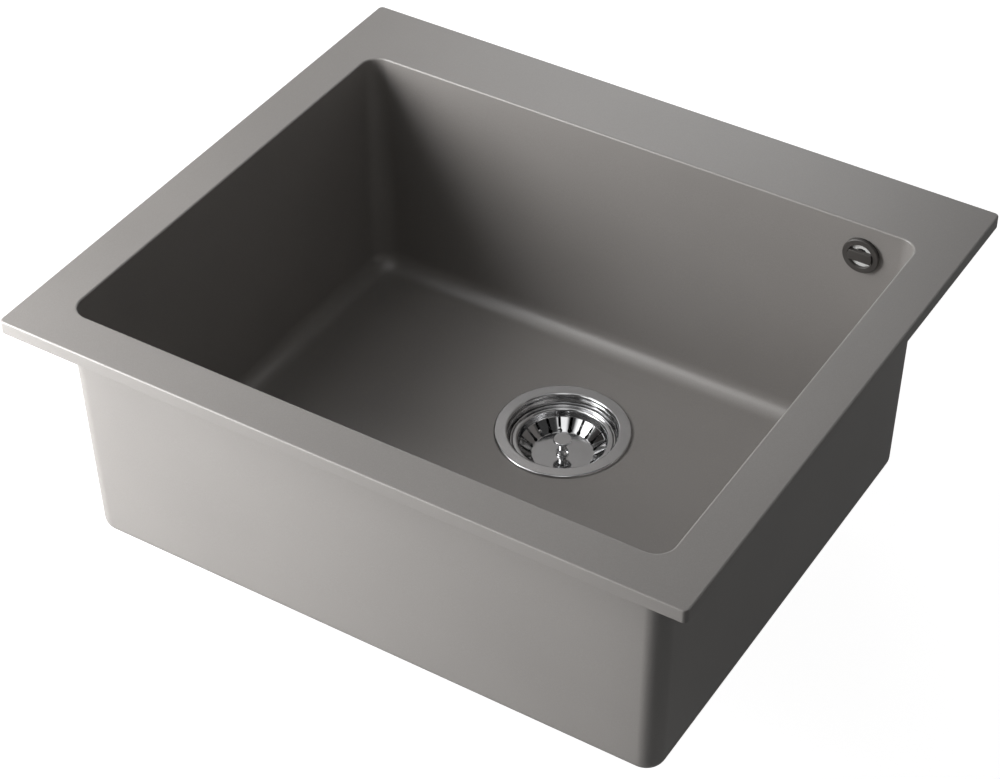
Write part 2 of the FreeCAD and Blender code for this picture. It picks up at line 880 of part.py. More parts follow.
def overflow_elbow():
    """The elbow behind the back wall: flange, bend, spigot and a web with a screw boss."""
    face_y = overflow_pad_y + rear_seal_thickness
    start = point(overflow_x, face_y, overflow_z)
    corner = point(overflow_x, elbow_axis_y, overflow_z)
    mouth = elbow_mouth()
    outside = tube([start, corner, mouth], [0, elbow_bend, 0], elbow_radius)
    early = start - point(0, cut_overrun, 0)
    late = mouth - point(0, 0, cut_overrun)
    bore = tube([early, corner, late], [0, elbow_bend, 0], elbow_bore_radius)
    collar = ring(
        spigot_radius, pipe_radius + socket_clearance, 0, nut_overlap + part_gap, point(0, 0, 0)
    )
    collar = aimed(collar, mouth, point(0, 0, 1))
    flange = ring(
        elbow_flange_radius, elbow_bore_radius, 0, elbow_flange_thickness, point(0, 0, 0)
    )
    flange = aimed(flange, start, point(0, 1, 0))
    boss = cylinder(elbow_boss_radius, start, point(0, elbow_boss_length, 0))
    web = Part.makeBox(
        2 * elbow_radius,
        elbow_boss_length,
        elbow_web,
        point(overflow_x - elbow_radius, face_y, overflow_z - elbow_web / 2),
    )
    elbow = outside.cut(bore).fuse([collar, flange]).fuse(boss.fuse(web).common(outside))
    insert_hole = cylinder(
        elbow_insert_radius + fit_clearance,
        start - point(0, cut_overrun, 0),
        point(0, elbow_insert_length + cut_overrun, 0),
    )
    socket = cylinder(
        pipe_radius + socket_clearance, late, point(0, 0, socket_depth + cut_overrun)
    )
    return elbow.cut(insert_hole).cut(socket)


def overflow_insert():
    """The brass insert in the elbow's boss."""
    face_y = overflow_pad_y + rear_seal_thickness
    tube_wall = ring(
        elbow_insert_radius,
        cover_screw_radius + fit_clearance,
        0,
        elbow_insert_length,
        point(0, 0, 0),
    )
    return aimed(tube_wall, point(overflow_x, face_y, overflow_z), point(0, 1, 0))


def overflow_rear_seal():
    """The ring between the pad and the elbow's flange."""
    seal = ring(elbow_flange_radius, overflow_hole_radius, 0, rear_seal_thickness, point(0, 0, 0))
    return aimed(seal, point(overflow_x, overflow_pad_y, overflow_z), point(0, 1, 0))


def cover_back_y():
    """The plane of the cover's back, one seal in front of the nearest point of the drafted wall."""
    lowest = overflow_below_top + cover_radius
    return opening_back_y - wall_slope * lowest - cover_seal_thickness


def overflow_front_seal():
    """The ring between cover and wall, cut to the wall's draft."""
    blank = ring(
        cover_radius - part_gap,
        cover_radius - part_gap - cover_seal_width,
        0,
        cover_seal_thickness + cut_overrun,
        point(0, 0, 0),
    )
    blank = aimed(blank, point(overflow_x, cover_back_y(), overflow_z), point(0, 1, 0))
    return blank.common(cavity())


def cover_bar(half_height, front, back, reach):
    """A level bar across the cover, with round ends, between two planes of Y."""
    disc = cylinder(reach, point(overflow_x, front, overflow_z), point(0, back - front, 0))
    band = Part.makeBox(
        2 * reach,
        back - front,
        2 * half_height,
        point(overflow_x - reach, front, overflow_z - half_height),
    )
    return disc.common(band)


def overflow_cover():
    """The dark ring in the bowl with its crossbar and two crescent openings."""
    outline = [
        (cover_opening_radius, 0),
        (cover_radius, 0),
        (cover_radius, cover_thickness),
        (cover_opening_radius, cover_thickness),
    ]
    edge = cover_edge_radius
    band = turned(outline, [0, 0, edge, edge / 2], point(0, 0, 0))
    band = aimed(band, point(overflow_x, cover_back_y(), overflow_z), point(0, -1, 0))
    bar = cover_bar(
        cover_bar_height / 2,
        cover_back_y() - cover_bar_thickness,
        cover_back_y(),
        cover_opening_radius + cover_edge_radius,
    )
    screw_hole = cylinder(
        cover_screw_radius + screw_clearance,
        point(overflow_x, cover_back_y() - cover_thickness, overflow_z),
        point(0, cover_thickness + cut_overrun, 0),
    )
    return band.fuse(bar).cut(screw_hole)


def overflow_bar_cap():
    """The smooth bare cap that snaps over the crossbar and hides the screw."""
    bar_front = cover_back_y() - cover_bar_thickness
    cap_front = cover_back_y() - cover_thickness - bar_cap_thickness / 2
    cap = cover_bar(
        cover_bar_height / 2, cap_front, bar_front, cover_opening_radius - bar_cap_margin
    )
    pocket = cylinder(
        cover_screw_head_radius + bar_cap_margin,
        point(overflow_x, bar_front - cover_screw_head_height - bar_cap_margin, overflow_z),
        point(0, cover_thickness, 0),
    )
    return cap.cut(pocket)


def overflow_screw():
    """The screw from the cover's crossbar into the elbow's insert."""
    bar_front = cover_back_y() - cover_bar_thickness
    insert_end = overflow_pad_y + rear_seal_thickness + elbow_insert_length
    length = insert_end - cover_screw_end_gap - bar_front
    screw = pan_head_screw(
        cover_screw_radius, length, cover_screw_head_radius, cover_screw_head_height
    )
    return aimed(screw, point(overflow_x, bar_front, overflow_z), point(0, -1, 0))


def overflow_pipe():
    """The overflow pipe: down behind the back wall, one bend, then level to the side port."""
    top = elbow_mouth() + point(0, 0, socket_depth - socket_end_gap)
    corner = point(overflow_x, elbow_axis_y, port_z)
    end = port_mouth() - port_direction() * (socket_depth - socket_end_gap)
    bends = [0, pipe_bend, 0]
    wall = tube([top, corner, end], bends, pipe_radius)
    far_top = top + point(0, 0, cut_overrun)
    far_end = end - port_direction() * cut_overrun
    return wall.cut(tube([far_top, corner, far_end], bends, pipe_radius - pipe_wall))


def upper_at(shape):
    """A joint piece at the elbow's mouth, facing down."""
    return aimed(shape, elbow_mouth(), point(0, 0, -1))


def lower_at(shape):
    """A joint piece at the side port's mouth, facing the pipe."""
    return aimed(shape, port_mouth(), port_direction())


def all_pieces():
    """Every node of the sink, by name."""
    return {
        "sink_bowl": sink_bowl(),
        "strainer_cup": strainer_cup(),
        "flange_seal": flange_seal(),
        "body_seal": body_seal(),
        "waste_body": waste_body(),
        "screw_insert": screw_insert(),
        "clamp_screw": clamp_screw(),
        "basket": basket(),
        "basket_seal": basket_seal(),
        "basket_washer": basket_washer(),
        "basket_screw": basket_screw(),
        "basket_knob": basket_knob(),
        "overflow_cover": overflow_cover(),
        "overflow_bar_cap": overflow_bar_cap(),
        "overflow_screw": overflow_screw(),
        "overflow_front_seal": overflow_front_seal(),
        "overflow_rear_seal": overflow_rear_seal(),
        "overflow_elbow": overflow_elbow(),
        "overflow_insert": overflow_insert(),
        "overflow_pipe": overflow_pipe(),
        "upper_pipe_nut": upper_at(joint_nut()),
        "upper_pipe_seal": upper_at(joint_seal()),
        "lower_pipe_nut": lower_at(joint_nut()),
        "lower_pipe_seal": lower_at(joint_seal()),
    }


os.makedirs("parts", exist_ok=True)
for name, shape in all_pieces().items():
    box = shape.BoundBox
    print(
        name, "solids", len(shape.Solids), "valid", shape.isValid(), "volume", round(shape.Volume),
        "z", round(box.ZMin, 1), round(box.ZMax, 1),
    )
    shape.exportStep("parts/" + name + ".step")
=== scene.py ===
"""Inset kitchen sink: the surfaces, finishes, light and camera round the packed model.

Every length is in metres, in the packed model's frame: X to the right, Y to the back, Z up, with
the worktop at Z = 0. Each operator builds one piece or one group of like pieces, and each property
group holds the sizes or colours that a user would change.
"""
import json
import math
from functools import partial

import bmesh
import bpy
import numpy as np
from bpy.props import FloatProperty, FloatVectorProperty, IntProperty, PointerProperty
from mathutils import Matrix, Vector


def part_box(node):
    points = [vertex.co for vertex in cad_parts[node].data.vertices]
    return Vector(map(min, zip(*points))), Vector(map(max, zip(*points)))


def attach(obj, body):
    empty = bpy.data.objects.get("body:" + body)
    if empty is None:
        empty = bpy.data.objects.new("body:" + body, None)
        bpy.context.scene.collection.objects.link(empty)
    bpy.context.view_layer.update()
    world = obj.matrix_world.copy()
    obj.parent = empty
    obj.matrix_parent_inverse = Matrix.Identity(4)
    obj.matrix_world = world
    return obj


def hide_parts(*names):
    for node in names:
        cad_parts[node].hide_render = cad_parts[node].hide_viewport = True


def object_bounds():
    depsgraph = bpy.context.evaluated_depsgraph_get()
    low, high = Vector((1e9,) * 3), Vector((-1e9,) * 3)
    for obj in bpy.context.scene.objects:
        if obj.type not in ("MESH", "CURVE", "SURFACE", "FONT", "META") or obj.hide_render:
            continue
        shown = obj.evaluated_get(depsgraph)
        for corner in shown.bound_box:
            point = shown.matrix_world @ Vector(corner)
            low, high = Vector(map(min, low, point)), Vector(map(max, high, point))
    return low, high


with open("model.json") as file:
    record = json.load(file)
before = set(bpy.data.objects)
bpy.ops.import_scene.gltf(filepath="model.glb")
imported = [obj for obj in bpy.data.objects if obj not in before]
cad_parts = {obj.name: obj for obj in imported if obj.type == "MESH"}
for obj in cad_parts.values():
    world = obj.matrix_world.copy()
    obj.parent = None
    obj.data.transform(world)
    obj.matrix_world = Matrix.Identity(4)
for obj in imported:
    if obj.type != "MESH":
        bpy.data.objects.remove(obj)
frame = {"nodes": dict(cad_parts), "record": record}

bl_info = {
    "name": "Composite kitchen sink",
    "version": (1, 0, 0),
    "blender": (4, 5, 0),
    "location": "View3D > Sidebar > Sink",
    "description": "Builds an inset composite sink with its basket waste and overflow",
    "category": "Add Mesh",
}

CAD_BOX = [[float(v) for v in corner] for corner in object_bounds()]
SINK, BASKET = "sink", "basket"
FULL_TURN = 2 * math.pi
LEAST_RADIUS = 0.0004    # of a loop's corners, so that no loop folds over itself
ARC_ROOM = 0.49          # share of a straight run that the arc at one of its ends may take
MERGE_DISTANCE = 1e-6    # points of a mesh nearer than this are one
SLIVER = 1e-7            # shorter edges are dissolved


# Settings


def length(name, description, default):
    """A length in metres that a user may change."""
    return FloatProperty(
        name=name, description=description, default=default, unit="LENGTH", precision=5
    )


def count(name, description, default):
    """A whole number that a user may change."""
    return IntProperty(name=name, description=description, default=default, min=1)


def share(name, description, default):
    """A share between nothing and all."""
    return FloatProperty(
        name=name, description=description, default=default, min=0.0, max=1.0, subtype="FACTOR"
    )


def angle(name, description, degrees):
    """An angle, given in degrees."""
    return FloatProperty(
        name=name, description=description, default=math.radians(degrees), subtype="ANGLE"
    )


def colour(name, description, default):
    """A scene linear colour."""
    return FloatVectorProperty(
        name=name, description=description, default=default, size=3, min=0.0, max=1.0,
        subtype="COLOR",
    )


class BowlSizes(bpy.types.PropertyGroup):
    """Sizes of the moulded bowl and its rim."""

    side_land: length("Side land", "Rim beside the opening, left and right", 0.036)
    front_land: length("Front land", "Rim in front of the opening", 0.036)
    back_land: length("Back land", "Rim behind the opening", 0.067)
    rim_corner: length("Rim corner", "Radius of the rim's corners in plan", 0.004)
    rim_edge: length("Rim edge", "Rounding of the rim's upper edge", 0.0012)
    rim_foot: length("Rim foot edge", "Rounding of the rim's lower edge", 0.0005)
    seat_strip: length("Seat strip", "Strip that rests on the worktop", 0.010)
    seat_relief: length("Seat relief", "Step up inside the seat strip", 0.002)
    opening_corner: length("Opening corner", "Radius of the opening's corners in plan", 0.015)
    opening_edge: length("Opening edge", "Rounding of the opening's edge", 0.002)
    wall: length("Wall", "Thickness of the walls", 0.005)
    draft: angle("Draft", "Lean of the walls", 1.0)
    floor_corner: length("Floor corner", "Radius of the wall corners at the floor", 0.022)
    floor_fillet: length("Floor fillet", "Rounding between walls and floor", 0.020)
    floor_fall: length("Floor fall", "How far the floor falls to the waste", 0.0015)
    outer_corner: length("Outer corner", "Radius of the outer walls' corners", 0.016)
    outer_foot: length("Outer foot", "Rounding of the outer walls' foot", 0.010)
    root_fillet: length("Root fillet", "Fillet between rim and outer walls", 0.006)
    hole: length("Waste hole", "Radius of the waste hole", 0.0465)
    seat: length("Waste seat", "Radius of the flat seat round the waste hole", 0.060)
    pad_width: length("Pad width", "Width of the pad behind the overflow", 0.040)
    pad_corner: length("Pad corner", "Radius of the pad's lower corners", 0.008)
    overflow_hole: length("Overflow hole", "Radius of the hole through the back wall", 0.011)


class CupSizes(bpy.types.PropertyGroup):
    """Sizes of the pressed strainer cup, as radii and depths below its flange."""

    sheet: length("Sheet", "Thickness of the cup's sheet", 0.0009)
    flange_bevel: length("Flange bevel", "Width of the turned-down edge", 0.0009)
    lip: length("Lip", "Radius of the mouth", 0.0448)
    lip_bend: length("Lip bend", "Rounding of the mouth and of the flange's edge", 0.0016)
    step_depth: length("Step depth", "Depth of the first step", 0.005)
    step_height: length("Step height", "Height of the first step", 0.0008)
    ledge_outer: length("Ledge outside", "Outer radius of the basket's ledge", 0.0434)
    ledge_depth: length("Ledge depth", "Depth of the basket's ledge", 0.011)
    ledge_inner: length("Ledge inside", "Inner radius of the basket's ledge", 0.0389)
    ledge_bend: length("Ledge bend", "Bend at the ledge", 0.001)
    well: length("Well", "Radius of the well at its foot", 0.0379)
    well_depth: length("Well depth", "Depth of the seal plate", 0.031)
    well_bend: length("Well bend", "Bend at the foot of the well", 0.004)
    dish: length("Dish", "Radius of the dish in the seal plate", 0.0205)
    hub: length("Hub", "Radius of the flat hub", 0.009)
    dish_bend: length("Dish bend", "Bend at the dish", 0.0015)
    hub_hole: length("Hub hole", "Radius of the hole for the clamp screw", 0.0033)
    spokes: count("Spokes", "Spokes across the dish", 3)
    spoke_width: length("Spoke width", "Width of a spoke", 0.005)
    window_margin: length("Window margin", "Sheet left beside a window", 0.0015)


class BasketSizes(bpy.types.PropertyGroup):
    """Sizes of the basket and its knob."""

    sheet: length("Sheet", "Thickness of the basket's sheet", 0.0007)
    rim_bevel: length("Rim bevel", "Width of the rim's turned-down edge", 0.001)
    rim_width: length("Rim width", "Width of the flat rim", 0.0042)
    rim_drop: length("Rim drop", "Height of the rim above its edge", 0.0012)
    shoulder_share: share("Shoulder", "Height of the shoulder above the floor", 0.551)
    shoulder: length("Shoulder radius", "Radius where the slots begin", 0.0356)
    floor: length("Floor radius", "Radius of the flat floor", 0.0256)
    bend: length("Bend", "Bends of the sheet", 0.0015)
    slots: count("Slots", "Keyhole slots in the ring", 21)
    slot_width: length("Slot width", "Width of a slot", 0.0023)
    slot_hole: length("Slot hole", "Radius of the hole at a slot's foot", 0.0019)
    slot_top: length("Slot top", "Sheet left above a slot", 0.001)
    slot_foot: length("Slot foot", "Sheet left below a slot", 0.0016)
    slot_start: angle("First slot", "Bearing of the first slot", 5.0)
    centre_hole: length("Centre hole", "Radius of the screw's hole", 0.0023)
    knob_cap: length("Knob cap", "Thickness of the knob's cap", 0.0022)
    knob_neck: length("Knob neck", "Radius of the knob's neck", 0.0034)
    knob_foot: length("Knob foot", "Radius of the knob's foot", 0.0052)
    knob_foot_height: length("Knob foot height", "Height of the knob's foot", 0.004)
    knob_edge: length("Knob edge", "Rounding of the knob's edges", 0.0008)
    knob_throat: length("Knob throat", "Fillets of the neck", 0.0025)
    knob_bore: length("Knob bore", "Radius of the threaded bore", 0.00203)
    knob_bore_depth: length("Knob bore depth", "Depth of the threaded bore", 0.0073)


class OverflowSizes(bpy.types.PropertyGroup):
    """Sizes of the overflow cover in the bowl."""

    opening: length("Opening", "Radius of the cover's opening", 0.0104)
    thickness: length("Thickness", "Thickness of the ring", 0.0024)
    edge: length("Edge", "Rounding of the ring's outer edge", 0.001)
    bar_thickness: length("Bar thickness", "Thickness of the crossbar", 0.0016)
    cap_edge: length("Cap edge", "Rounding of the crossbar's cap", 0.0004)
    sleeve: length("Sleeve", "Outer radius of the elbow's sleeve", 0.0107)
    sleeve_wall: length("Sleeve wall", "Thickness of the sleeve", 0.0011)
    sleeve_mouth: length("Sleeve mouth", "Radius of the mouth in the sleeve's face", 0.0056)
    sleeve_gap: length("Sleeve gap", "Gap between the cover and the sleeve", 0.0003)


class Finishes(bpy.types.PropertyGroup):
    """Colours and roughness of the finishes."""

    composite: colour("Composite", "Quartz composite", (0.252, 0.238, 0.227))
    composite_fleck: colour("Composite fleck", "Lighter grains in it", (0.278, 0.264, 0.252))
    composite_roughness: share("Composite roughness", "Roughness of the moulded face", 0.43)
    steel: colour("Steel", "Polished stainless steel", (0.53, 0.53, 0.535))
    steel_roughness: share("Steel roughness", "Roughness of the polished steel", 0.11)
    screw_steel: colour("Screw steel", "Plain stainless steel", (0.54, 0.54, 0.55))
    brass: colour("Brass", "Turned brass", (0.60, 0.43, 0.17))
    rubber: colour("Rubber", "Black rubber", (0.018, 0.018, 0.018))
    plastic: colour("Plastic", "White polypropylene", (0.86, 0.86, 0.84))
    trim: colour("Trim", "Dark anthracite trim", (0.068, 0.063, 0.059))


class StageSettings(bpy.types.PropertyGroup):
    """Camera, lamps and floor."""

    azimuth: angle("Azimuth", "Bearing of the camera round the sink", 31.442)
    elevation: angle("Elevation", "Camera's height above the horizon", 41.028)
    camera_x: length("Camera X", "Place of the camera", 0.7932)
    camera_y: length("Camera Y", "Place of the camera", -1.0411)
    camera_z: length("Camera Z", "Place of the camera", 1.1823)
    lens: FloatProperty(
        name="Lens", description="Focal length on a 36 mm sensor", default=92.0677, unit="CAMERA"
    )
    shift_x: FloatProperty(name="Shift X", description="Lens shift to the side", default=-0.019896)
    shift_y: FloatProperty(name="Shift Y", description="Lens shift upwards", default=0.021468)
    floor_size: length("Floor size", "Side of the square floor", 16.0)
    fill: share("Fill", "Light of the world on the sink", 0.02)
    ceiling: share("Ceiling", "How bright gloss shows the world overhead", 0.06)
    floor_share: share("Mirrored floor", "Share of the floor's white that gloss shows", 0.14)


GROUPS = {
    "sink_bowl_sizes": BowlSizes,
    "sink_cup_sizes": CupSizes,
    "sink_basket_sizes": BasketSizes,
    "sink_overflow_sizes": OverflowSizes,
    "sink_finishes": Finishes,
    "sink_stage_settings": StageSettings,
}


# Outlines


def rounded(corners, radii, closed=False, turn=math.radians(9), guard=0.0002):
    """An outline in a plane, with a tangent arc at each corner.

    An arc's points are its centre plus its start turned by growing bearings, in steps of turn or
    a little less. A straight run also gets a point close to each of its ends, so that a flat face
    stays flat where it meets an arc.
    """
    corners = [np.array(corner, float) for corner in corners]
    total = len(corners)
    arcs = []
    for place, corner in enumerate(corners):
        has_arc = closed or 0 < place < total - 1
        if radii[place] <= 0 or not has_arc:
            arcs.append(corner[None])
            continue
        before = corners[place - 1] - corner
        after = corners[(place + 1) % total] - corner
        room = ARC_ROOM * min(np.linalg.norm(before), np.linalg.norm(after))
        before /= np.linalg.norm(before)
        after /= np.linalg.norm(after)
        half = math.acos(np.clip(before @ after, -1, 1)) / 2
        reach = min(radii[place] / math.tan(half), room)
        radius = reach * math.tan(half)
        inward = (before + after) / np.linalg.norm(before + after)
        centre = corner + inward * radius / math.sin(half)
        start = corner + before * reach - centre
        sweep = math.pi - 2 * half
        side = np.sign(before[1] * after[0] - before[0] * after[1])
        steps = max(2, math.ceil(sweep / turn))
        bearing = side * np.linspace(0, sweep, steps + 1)[:, None]
        across = np.array([-start[1], start[0]])
        arcs.append(centre + start * np.cos(bearing) + across * np.sin(bearing))
    points = []
    for place, arc in enumerate(arcs):
        points.append(arc)
        if closed or place < total - 1:
            leave, enter = arc[-1], arcs[(place + 1) % total][0]
            run = np.linalg.norm(enter - leave)
            if run > 4 * guard:
                along = (enter - leave) / run
                points.append(np.array([leave + along * guard, enter - along * guard]))
    return np.concatenate(points)


def bent_sheet(profile, bends, thickness):
    """A pressed sheet's closed outline from its upper side, listed from outside inwards.

    The lower side lies one thickness to the left of each run, and each bend is the radius on the
    hollow side of its corner, so the full side turns with the bend plus the thickness.
    """
    corners = np.array(profile, float)
    along = np.diff(corners, axis=0)
    along /= np.linalg.norm(along, axis=1)[:, None]
    normals = np.stack([-along[:, 1], along[:, 0]], axis=1)
    before = np.concatenate([normals[:1], normals])
    after = np.concatenate([normals, normals[-1:]])
    dots = np.sum(before * after, axis=1)[:, None]
    far_side = corners + (before + after) * thickness / (1 + dots)
    turns_left = before[:, 0] * after[:, 1] > before[:, 1] * after[:, 0]
    bends = np.array(bends, float)
    near = np.where(turns_left, bends + thickness, bends)
    far = np.where(turns_left, bends, bends + thickness)
    near[[0, -1]] = 0
    far[[0, -1]] = 0
    return np.concatenate([corners, far_side[::-1]]), np.concatenate([near, far[::-1]])


# Surfaces: each is a grid of points, rows by columns by three


def turned(outline, origin, steps, axis=(0, 0, 1)):
    """An outline of (radius, height) turned about an axis through the origin given.

    Point (i, j) is (radius i times cos a j, radius i times sin a j, height i), with up turned
    towards the axis, plus the origin.
    """
    bearing = FULL_TURN * np.arange(steps) / steps
    radius = outline[:, :1]
    height = np.broadcast_to(outline[:, 1:], (len(outline), steps))
    grid = np.stack([radius * np.cos(bearing), radius * np.sin(bearing), height], axis=2)
    turn = Vector((0, 0, 1)).rotation_difference(Vector(axis)).to_matrix()
    return grid @ np.array(turn).T + np.array(origin, float)


def level_loops(half_x, front, back, radius, height, arc_steps=14, side_steps=18):
    """Level rectangles with round corners, one for each entry of the arrays.

    A corner's points are its arc's centre plus radius times (cos a, sin a), with a running over a
    quarter turn, and a side divides the line from one arc to the next evenly.
    """
    quarter = np.linspace(0, FULL_TURN / 4, arc_steps + 1)
    centres = [
        (half_x - radius, back - radius),
        (radius - half_x, back - radius),
        (radius - half_x, front + radius),
        (half_x - radius, front + radius),
    ]
    arcs = []
    for place, (x, y) in enumerate(centres):
        bearing = quarter + FULL_TURN * place / 4
        across = x[:, None] + radius[:, None] * np.cos(bearing)
        along = y[:, None] + radius[:, None] * np.sin(bearing)
        arcs.append(np.stack([across, along], axis=2))
    inner = np.arange(1, side_steps) / side_steps
    parts = []
    for place, arc in enumerate(arcs):
        following = arcs[(place + 1) % len(arcs)]
        start, end = arc[:, -1:], following[:, :1]
        parts.extend([arc, start + (end - start) * inner[None, :, None]])
    plan = np.concatenate(parts, axis=1)
    level = np.broadcast_to(height[:, None, None], (*plan.shape[:2], 1))
    return np.concatenate([plan, level], axis=2)


def slab(plan, low, high):
    """An upright prism as one closed grid: its outline at both levels, and each level's middle."""
    centre = np.broadcast_to(plan.mean(axis=0), plan.shape)
    rows = [(centre, low), (plan, low), (plan, high), (centre, high)]
    return np.array([np.column_stack([p, np.full(len(p), z)]) for p, z in rows])


def placed(name, data):
    """A new object in the scene, at the origin."""
    holder = bpy.data.objects.new(name, data)
    bpy.context.scene.collection.objects.link(holder)
    return holder


def new_piece(name, grids, wrap_rows=False):
    """One object from one or more grids.

    Neighbours in a grid are joined by quads. Columns always close on themselves, and rows do too
    where wrap_rows is set. Points that coincide are merged, and faces are turned outwards.
    """
    vertices, faces, base = [], [], 0
    for grid in grids:
        rows, columns = grid.shape[:2]
        number = base + np.arange(rows * columns).reshape(rows, columns)
        lower = number if wrap_rows else number[:-1]
        upper = np.roll(number, -1, axis=0) if wrap_rows else number[1:]
        quads = [lower, np.roll(lower, -1, axis=1), np.roll(upper, -1, axis=1), upper]
        faces.append(np.stack(quads, axis=2).reshape(-1, 4))
        vertices.append(grid.reshape(-1, 3))
        base += rows * columns
    mesh = bpy.data.meshes.new(name)
    mesh.from_pydata(np.concatenate(vertices).tolist(), [], np.concatenate(faces).tolist())
    work = bmesh.new()
    work.from_mesh(mesh)
    bmesh.ops.remove_doubles(work, verts=work.verts, dist=MERGE_DISTANCE)
    bmesh.ops.dissolve_degenerate(work, edges=work.edges, dist=SLIVER)
    bmesh.ops.recalc_face_normals(work, faces=work.faces)
    work.to_mesh(mesh)
    work.free()
    return placed(name, mesh)


def combine(piece, others, operation):
    """Joins a piece with other closed pieces or cuts it by them, and uses these up."""
    for other in others:
        step = piece.modifiers.new("combine", "BOOLEAN")
        step.operation = operation
        step.object = other
        step.solver = "EXACT"
    graph = bpy.context.evaluated_depsgraph_get()
    result = bpy.data.meshes.new_from_object(piece.evaluated_get(graph))
    piece.modifiers.clear()
    spare = piece.data
    piece.data = result
    bpy.data.meshes.remove(spare)
    for other in others:
        mesh = other.data
        bpy.data.objects.remove(other)
        bpy.data.meshes.remove(mesh)
    piece.data.name = piece.name


def settle(piece, body, slot, *nodes, crease=34.0):
    """Smooth shading with creases at sharp edges, the finish, the body and what it replaces."""
    piece.data.shade_smooth()
    piece.data.set_sharp_from_angle(angle=math.radians(crease))
    piece.data.materials.clear()
    piece.data.materials.append(slot_finish(slot))
    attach(piece, body)
    if nodes:
        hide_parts(*nodes)


# Finishes


def node_material(name):
    """A new material with its Principled shader and Object coordinates, ready for textures."""
    material = bpy.data.materials.new(name)
    material.use_nodes = True
    tree = material.node_tree
    place = tree.nodes.new("ShaderNodeTexCoord")
    return material, tree, tree.nodes["Principled BSDF"], place.outputs["Object"]


def noise(tree, vector, scale, detail=2.0, stretch=None):
    """Noise of about 1 / scale metres; a stretch of three factors draws it out along an axis."""
    if stretch is not None:
        mapping = tree.nodes.new("ShaderNodeMapping")
        mapping.inputs["Scale"].default_value = stretch
        tree.links.new(vector, mapping.inputs["Vector"])
        vector = mapping.outputs["Vector"]
    texture = tree.nodes.new("ShaderNodeTexNoise")
    texture.inputs["Scale"].default_value = scale
    texture.inputs["Detail"].default_value = detail
    tree.links.new(vector, texture.inputs["Vector"])
    return texture.outputs["Fac"]


def ranged(tree, value, low, high, start=0.3, end=0.7):
    """A value spread from low to high as it runs from start to end."""
    spread = tree.nodes.new("ShaderNodeMapRange")
    spread.inputs["From Min"].default_value = start
    spread.inputs["From Max"].default_value = end
    spread.inputs["To Min"].default_value = low
    spread.inputs["To Max"].default_value = high
    tree.links.new(value, spread.inputs["Value"])
    return spread.outputs["Result"]


def blended(tree, value, first, second, start=0.35, end=0.65):
    """A colour that runs from first to second as a value runs from start to end."""
    ramp = tree.nodes.new("ShaderNodeValToRGB")
    ramp.color_ramp.elements[0].position = start
    ramp.color_ramp.elements[0].color = (*first, 1)
    ramp.color_ramp.elements[1].position = end
    ramp.color_ramp.elements[1].color = (*second, 1)
    tree.links.new(value, ramp.inputs["Fac"])
    return ramp.outputs["Color"]


def bumped(tree, shader, height, depth, strength):
    """A fine relief of a real depth on the shader's normal."""
    bump = tree.nodes.new("ShaderNodeBump")
    bump.inputs["Strength"].default_value = strength
    bump.inputs["Distance"].default_value = depth
    tree.links.new(height, bump.inputs["Height"])
    tree.links.new(bump.outputs["Normal"], shader.inputs["Normal"])


def toned(tree, shader, pattern, base, shade, low, high):
    """Colour and roughness that follow a pattern: from base times shade to base, low to high."""
    darker = [shade * value for value in base]
    tree.links.new(blended(tree, pattern, darker, base), shader.inputs["Base Color"])
    tree.links.new(ranged(tree, pattern, low, high), shader.inputs["Roughness"])


def composite_finish(name, base, fleck, roughness):
    """Satin quartz composite: tight pale grains in the grey, a slow drift of tone, a fine tooth."""
    material, tree, shader, place = node_material(name)
    grain = noise(tree, place, scale=1400.0)
    grained = blended(tree, grain, base, fleck, start=0.40, end=0.72)
    tone = ranged(tree, noise(tree, place, scale=9.0), low=0.97, high=1.03)
    drifted = tree.nodes.new("ShaderNodeVectorMath")
    drifted.operation = "SCALE"
    tree.links.new(grained, drifted.inputs[0])
    tree.links.new(tone, drifted.inputs["Scale"])
    tree.links.new(drifted.outputs["Vector"], shader.inputs["Base Color"])
    rough = ranged(tree, grain, low=roughness - 0.03, high=roughness + 0.05)
    tree.links.new(rough, shader.inputs["Roughness"])
    shader.inputs["Specular IOR Level"].default_value = 0.92
    tooth = noise(tree, place, scale=2200.0)
    bumped(tree, shader, tooth, depth=0.00003, strength=0.35)
    return material


def polished_steel_finish(name, base, roughness, wiping):
    """Stainless steel: near mirror, with faint wiping marks and a slightly uneven gloss."""
    material, tree, shader, place = node_material(name)
    shader.inputs["Metallic"].default_value = 1.0
    haze = noise(tree, place, scale=60.0, detail=3.0)
    low, high = 0.75 * roughness, 1.35 * roughness
    toned(tree, shader, haze, base, shade=0.94, low=low, high=high)
    marks = noise(tree, place, scale=900.0, stretch=(1.0, 1.0, 6.0))
    bumped(tree, shader, marks, depth=0.000004, strength=wiping)
    return material


def plain_metal_finish(name, base, roughness):
    """Turned metal: an even tone with fine tool marks that change colour and gloss a little."""
    material, tree, shader, place = node_material(name)
    shader.inputs["Metallic"].default_value = 1.0
    marks = noise(tree, place, scale=1500.0)
    low, high = roughness - 0.05, roughness + 0.08
    toned(tree, shader, marks, base, shade=0.82, low=low, high=high)
    bumped(tree, shader, marks, depth=0.000008, strength=0.5)
    return material


def soft_finish(name, base, roughness, grain, depth):
    """Rubber or moulded plastic: a low mottle in the colour and the fine grain of a mould."""
    material, tree, shader, place = node_material(name)
    mottle = noise(tree, place, scale=45.0, detail=3.0)
    low, high = roughness - 0.04, roughness + 0.05
    toned(tree, shader, mottle, base, shade=0.9, low=low, high=high)
    bumped(tree, shader, noise(tree, place, scale=grain), depth, strength=0.4)
    return material


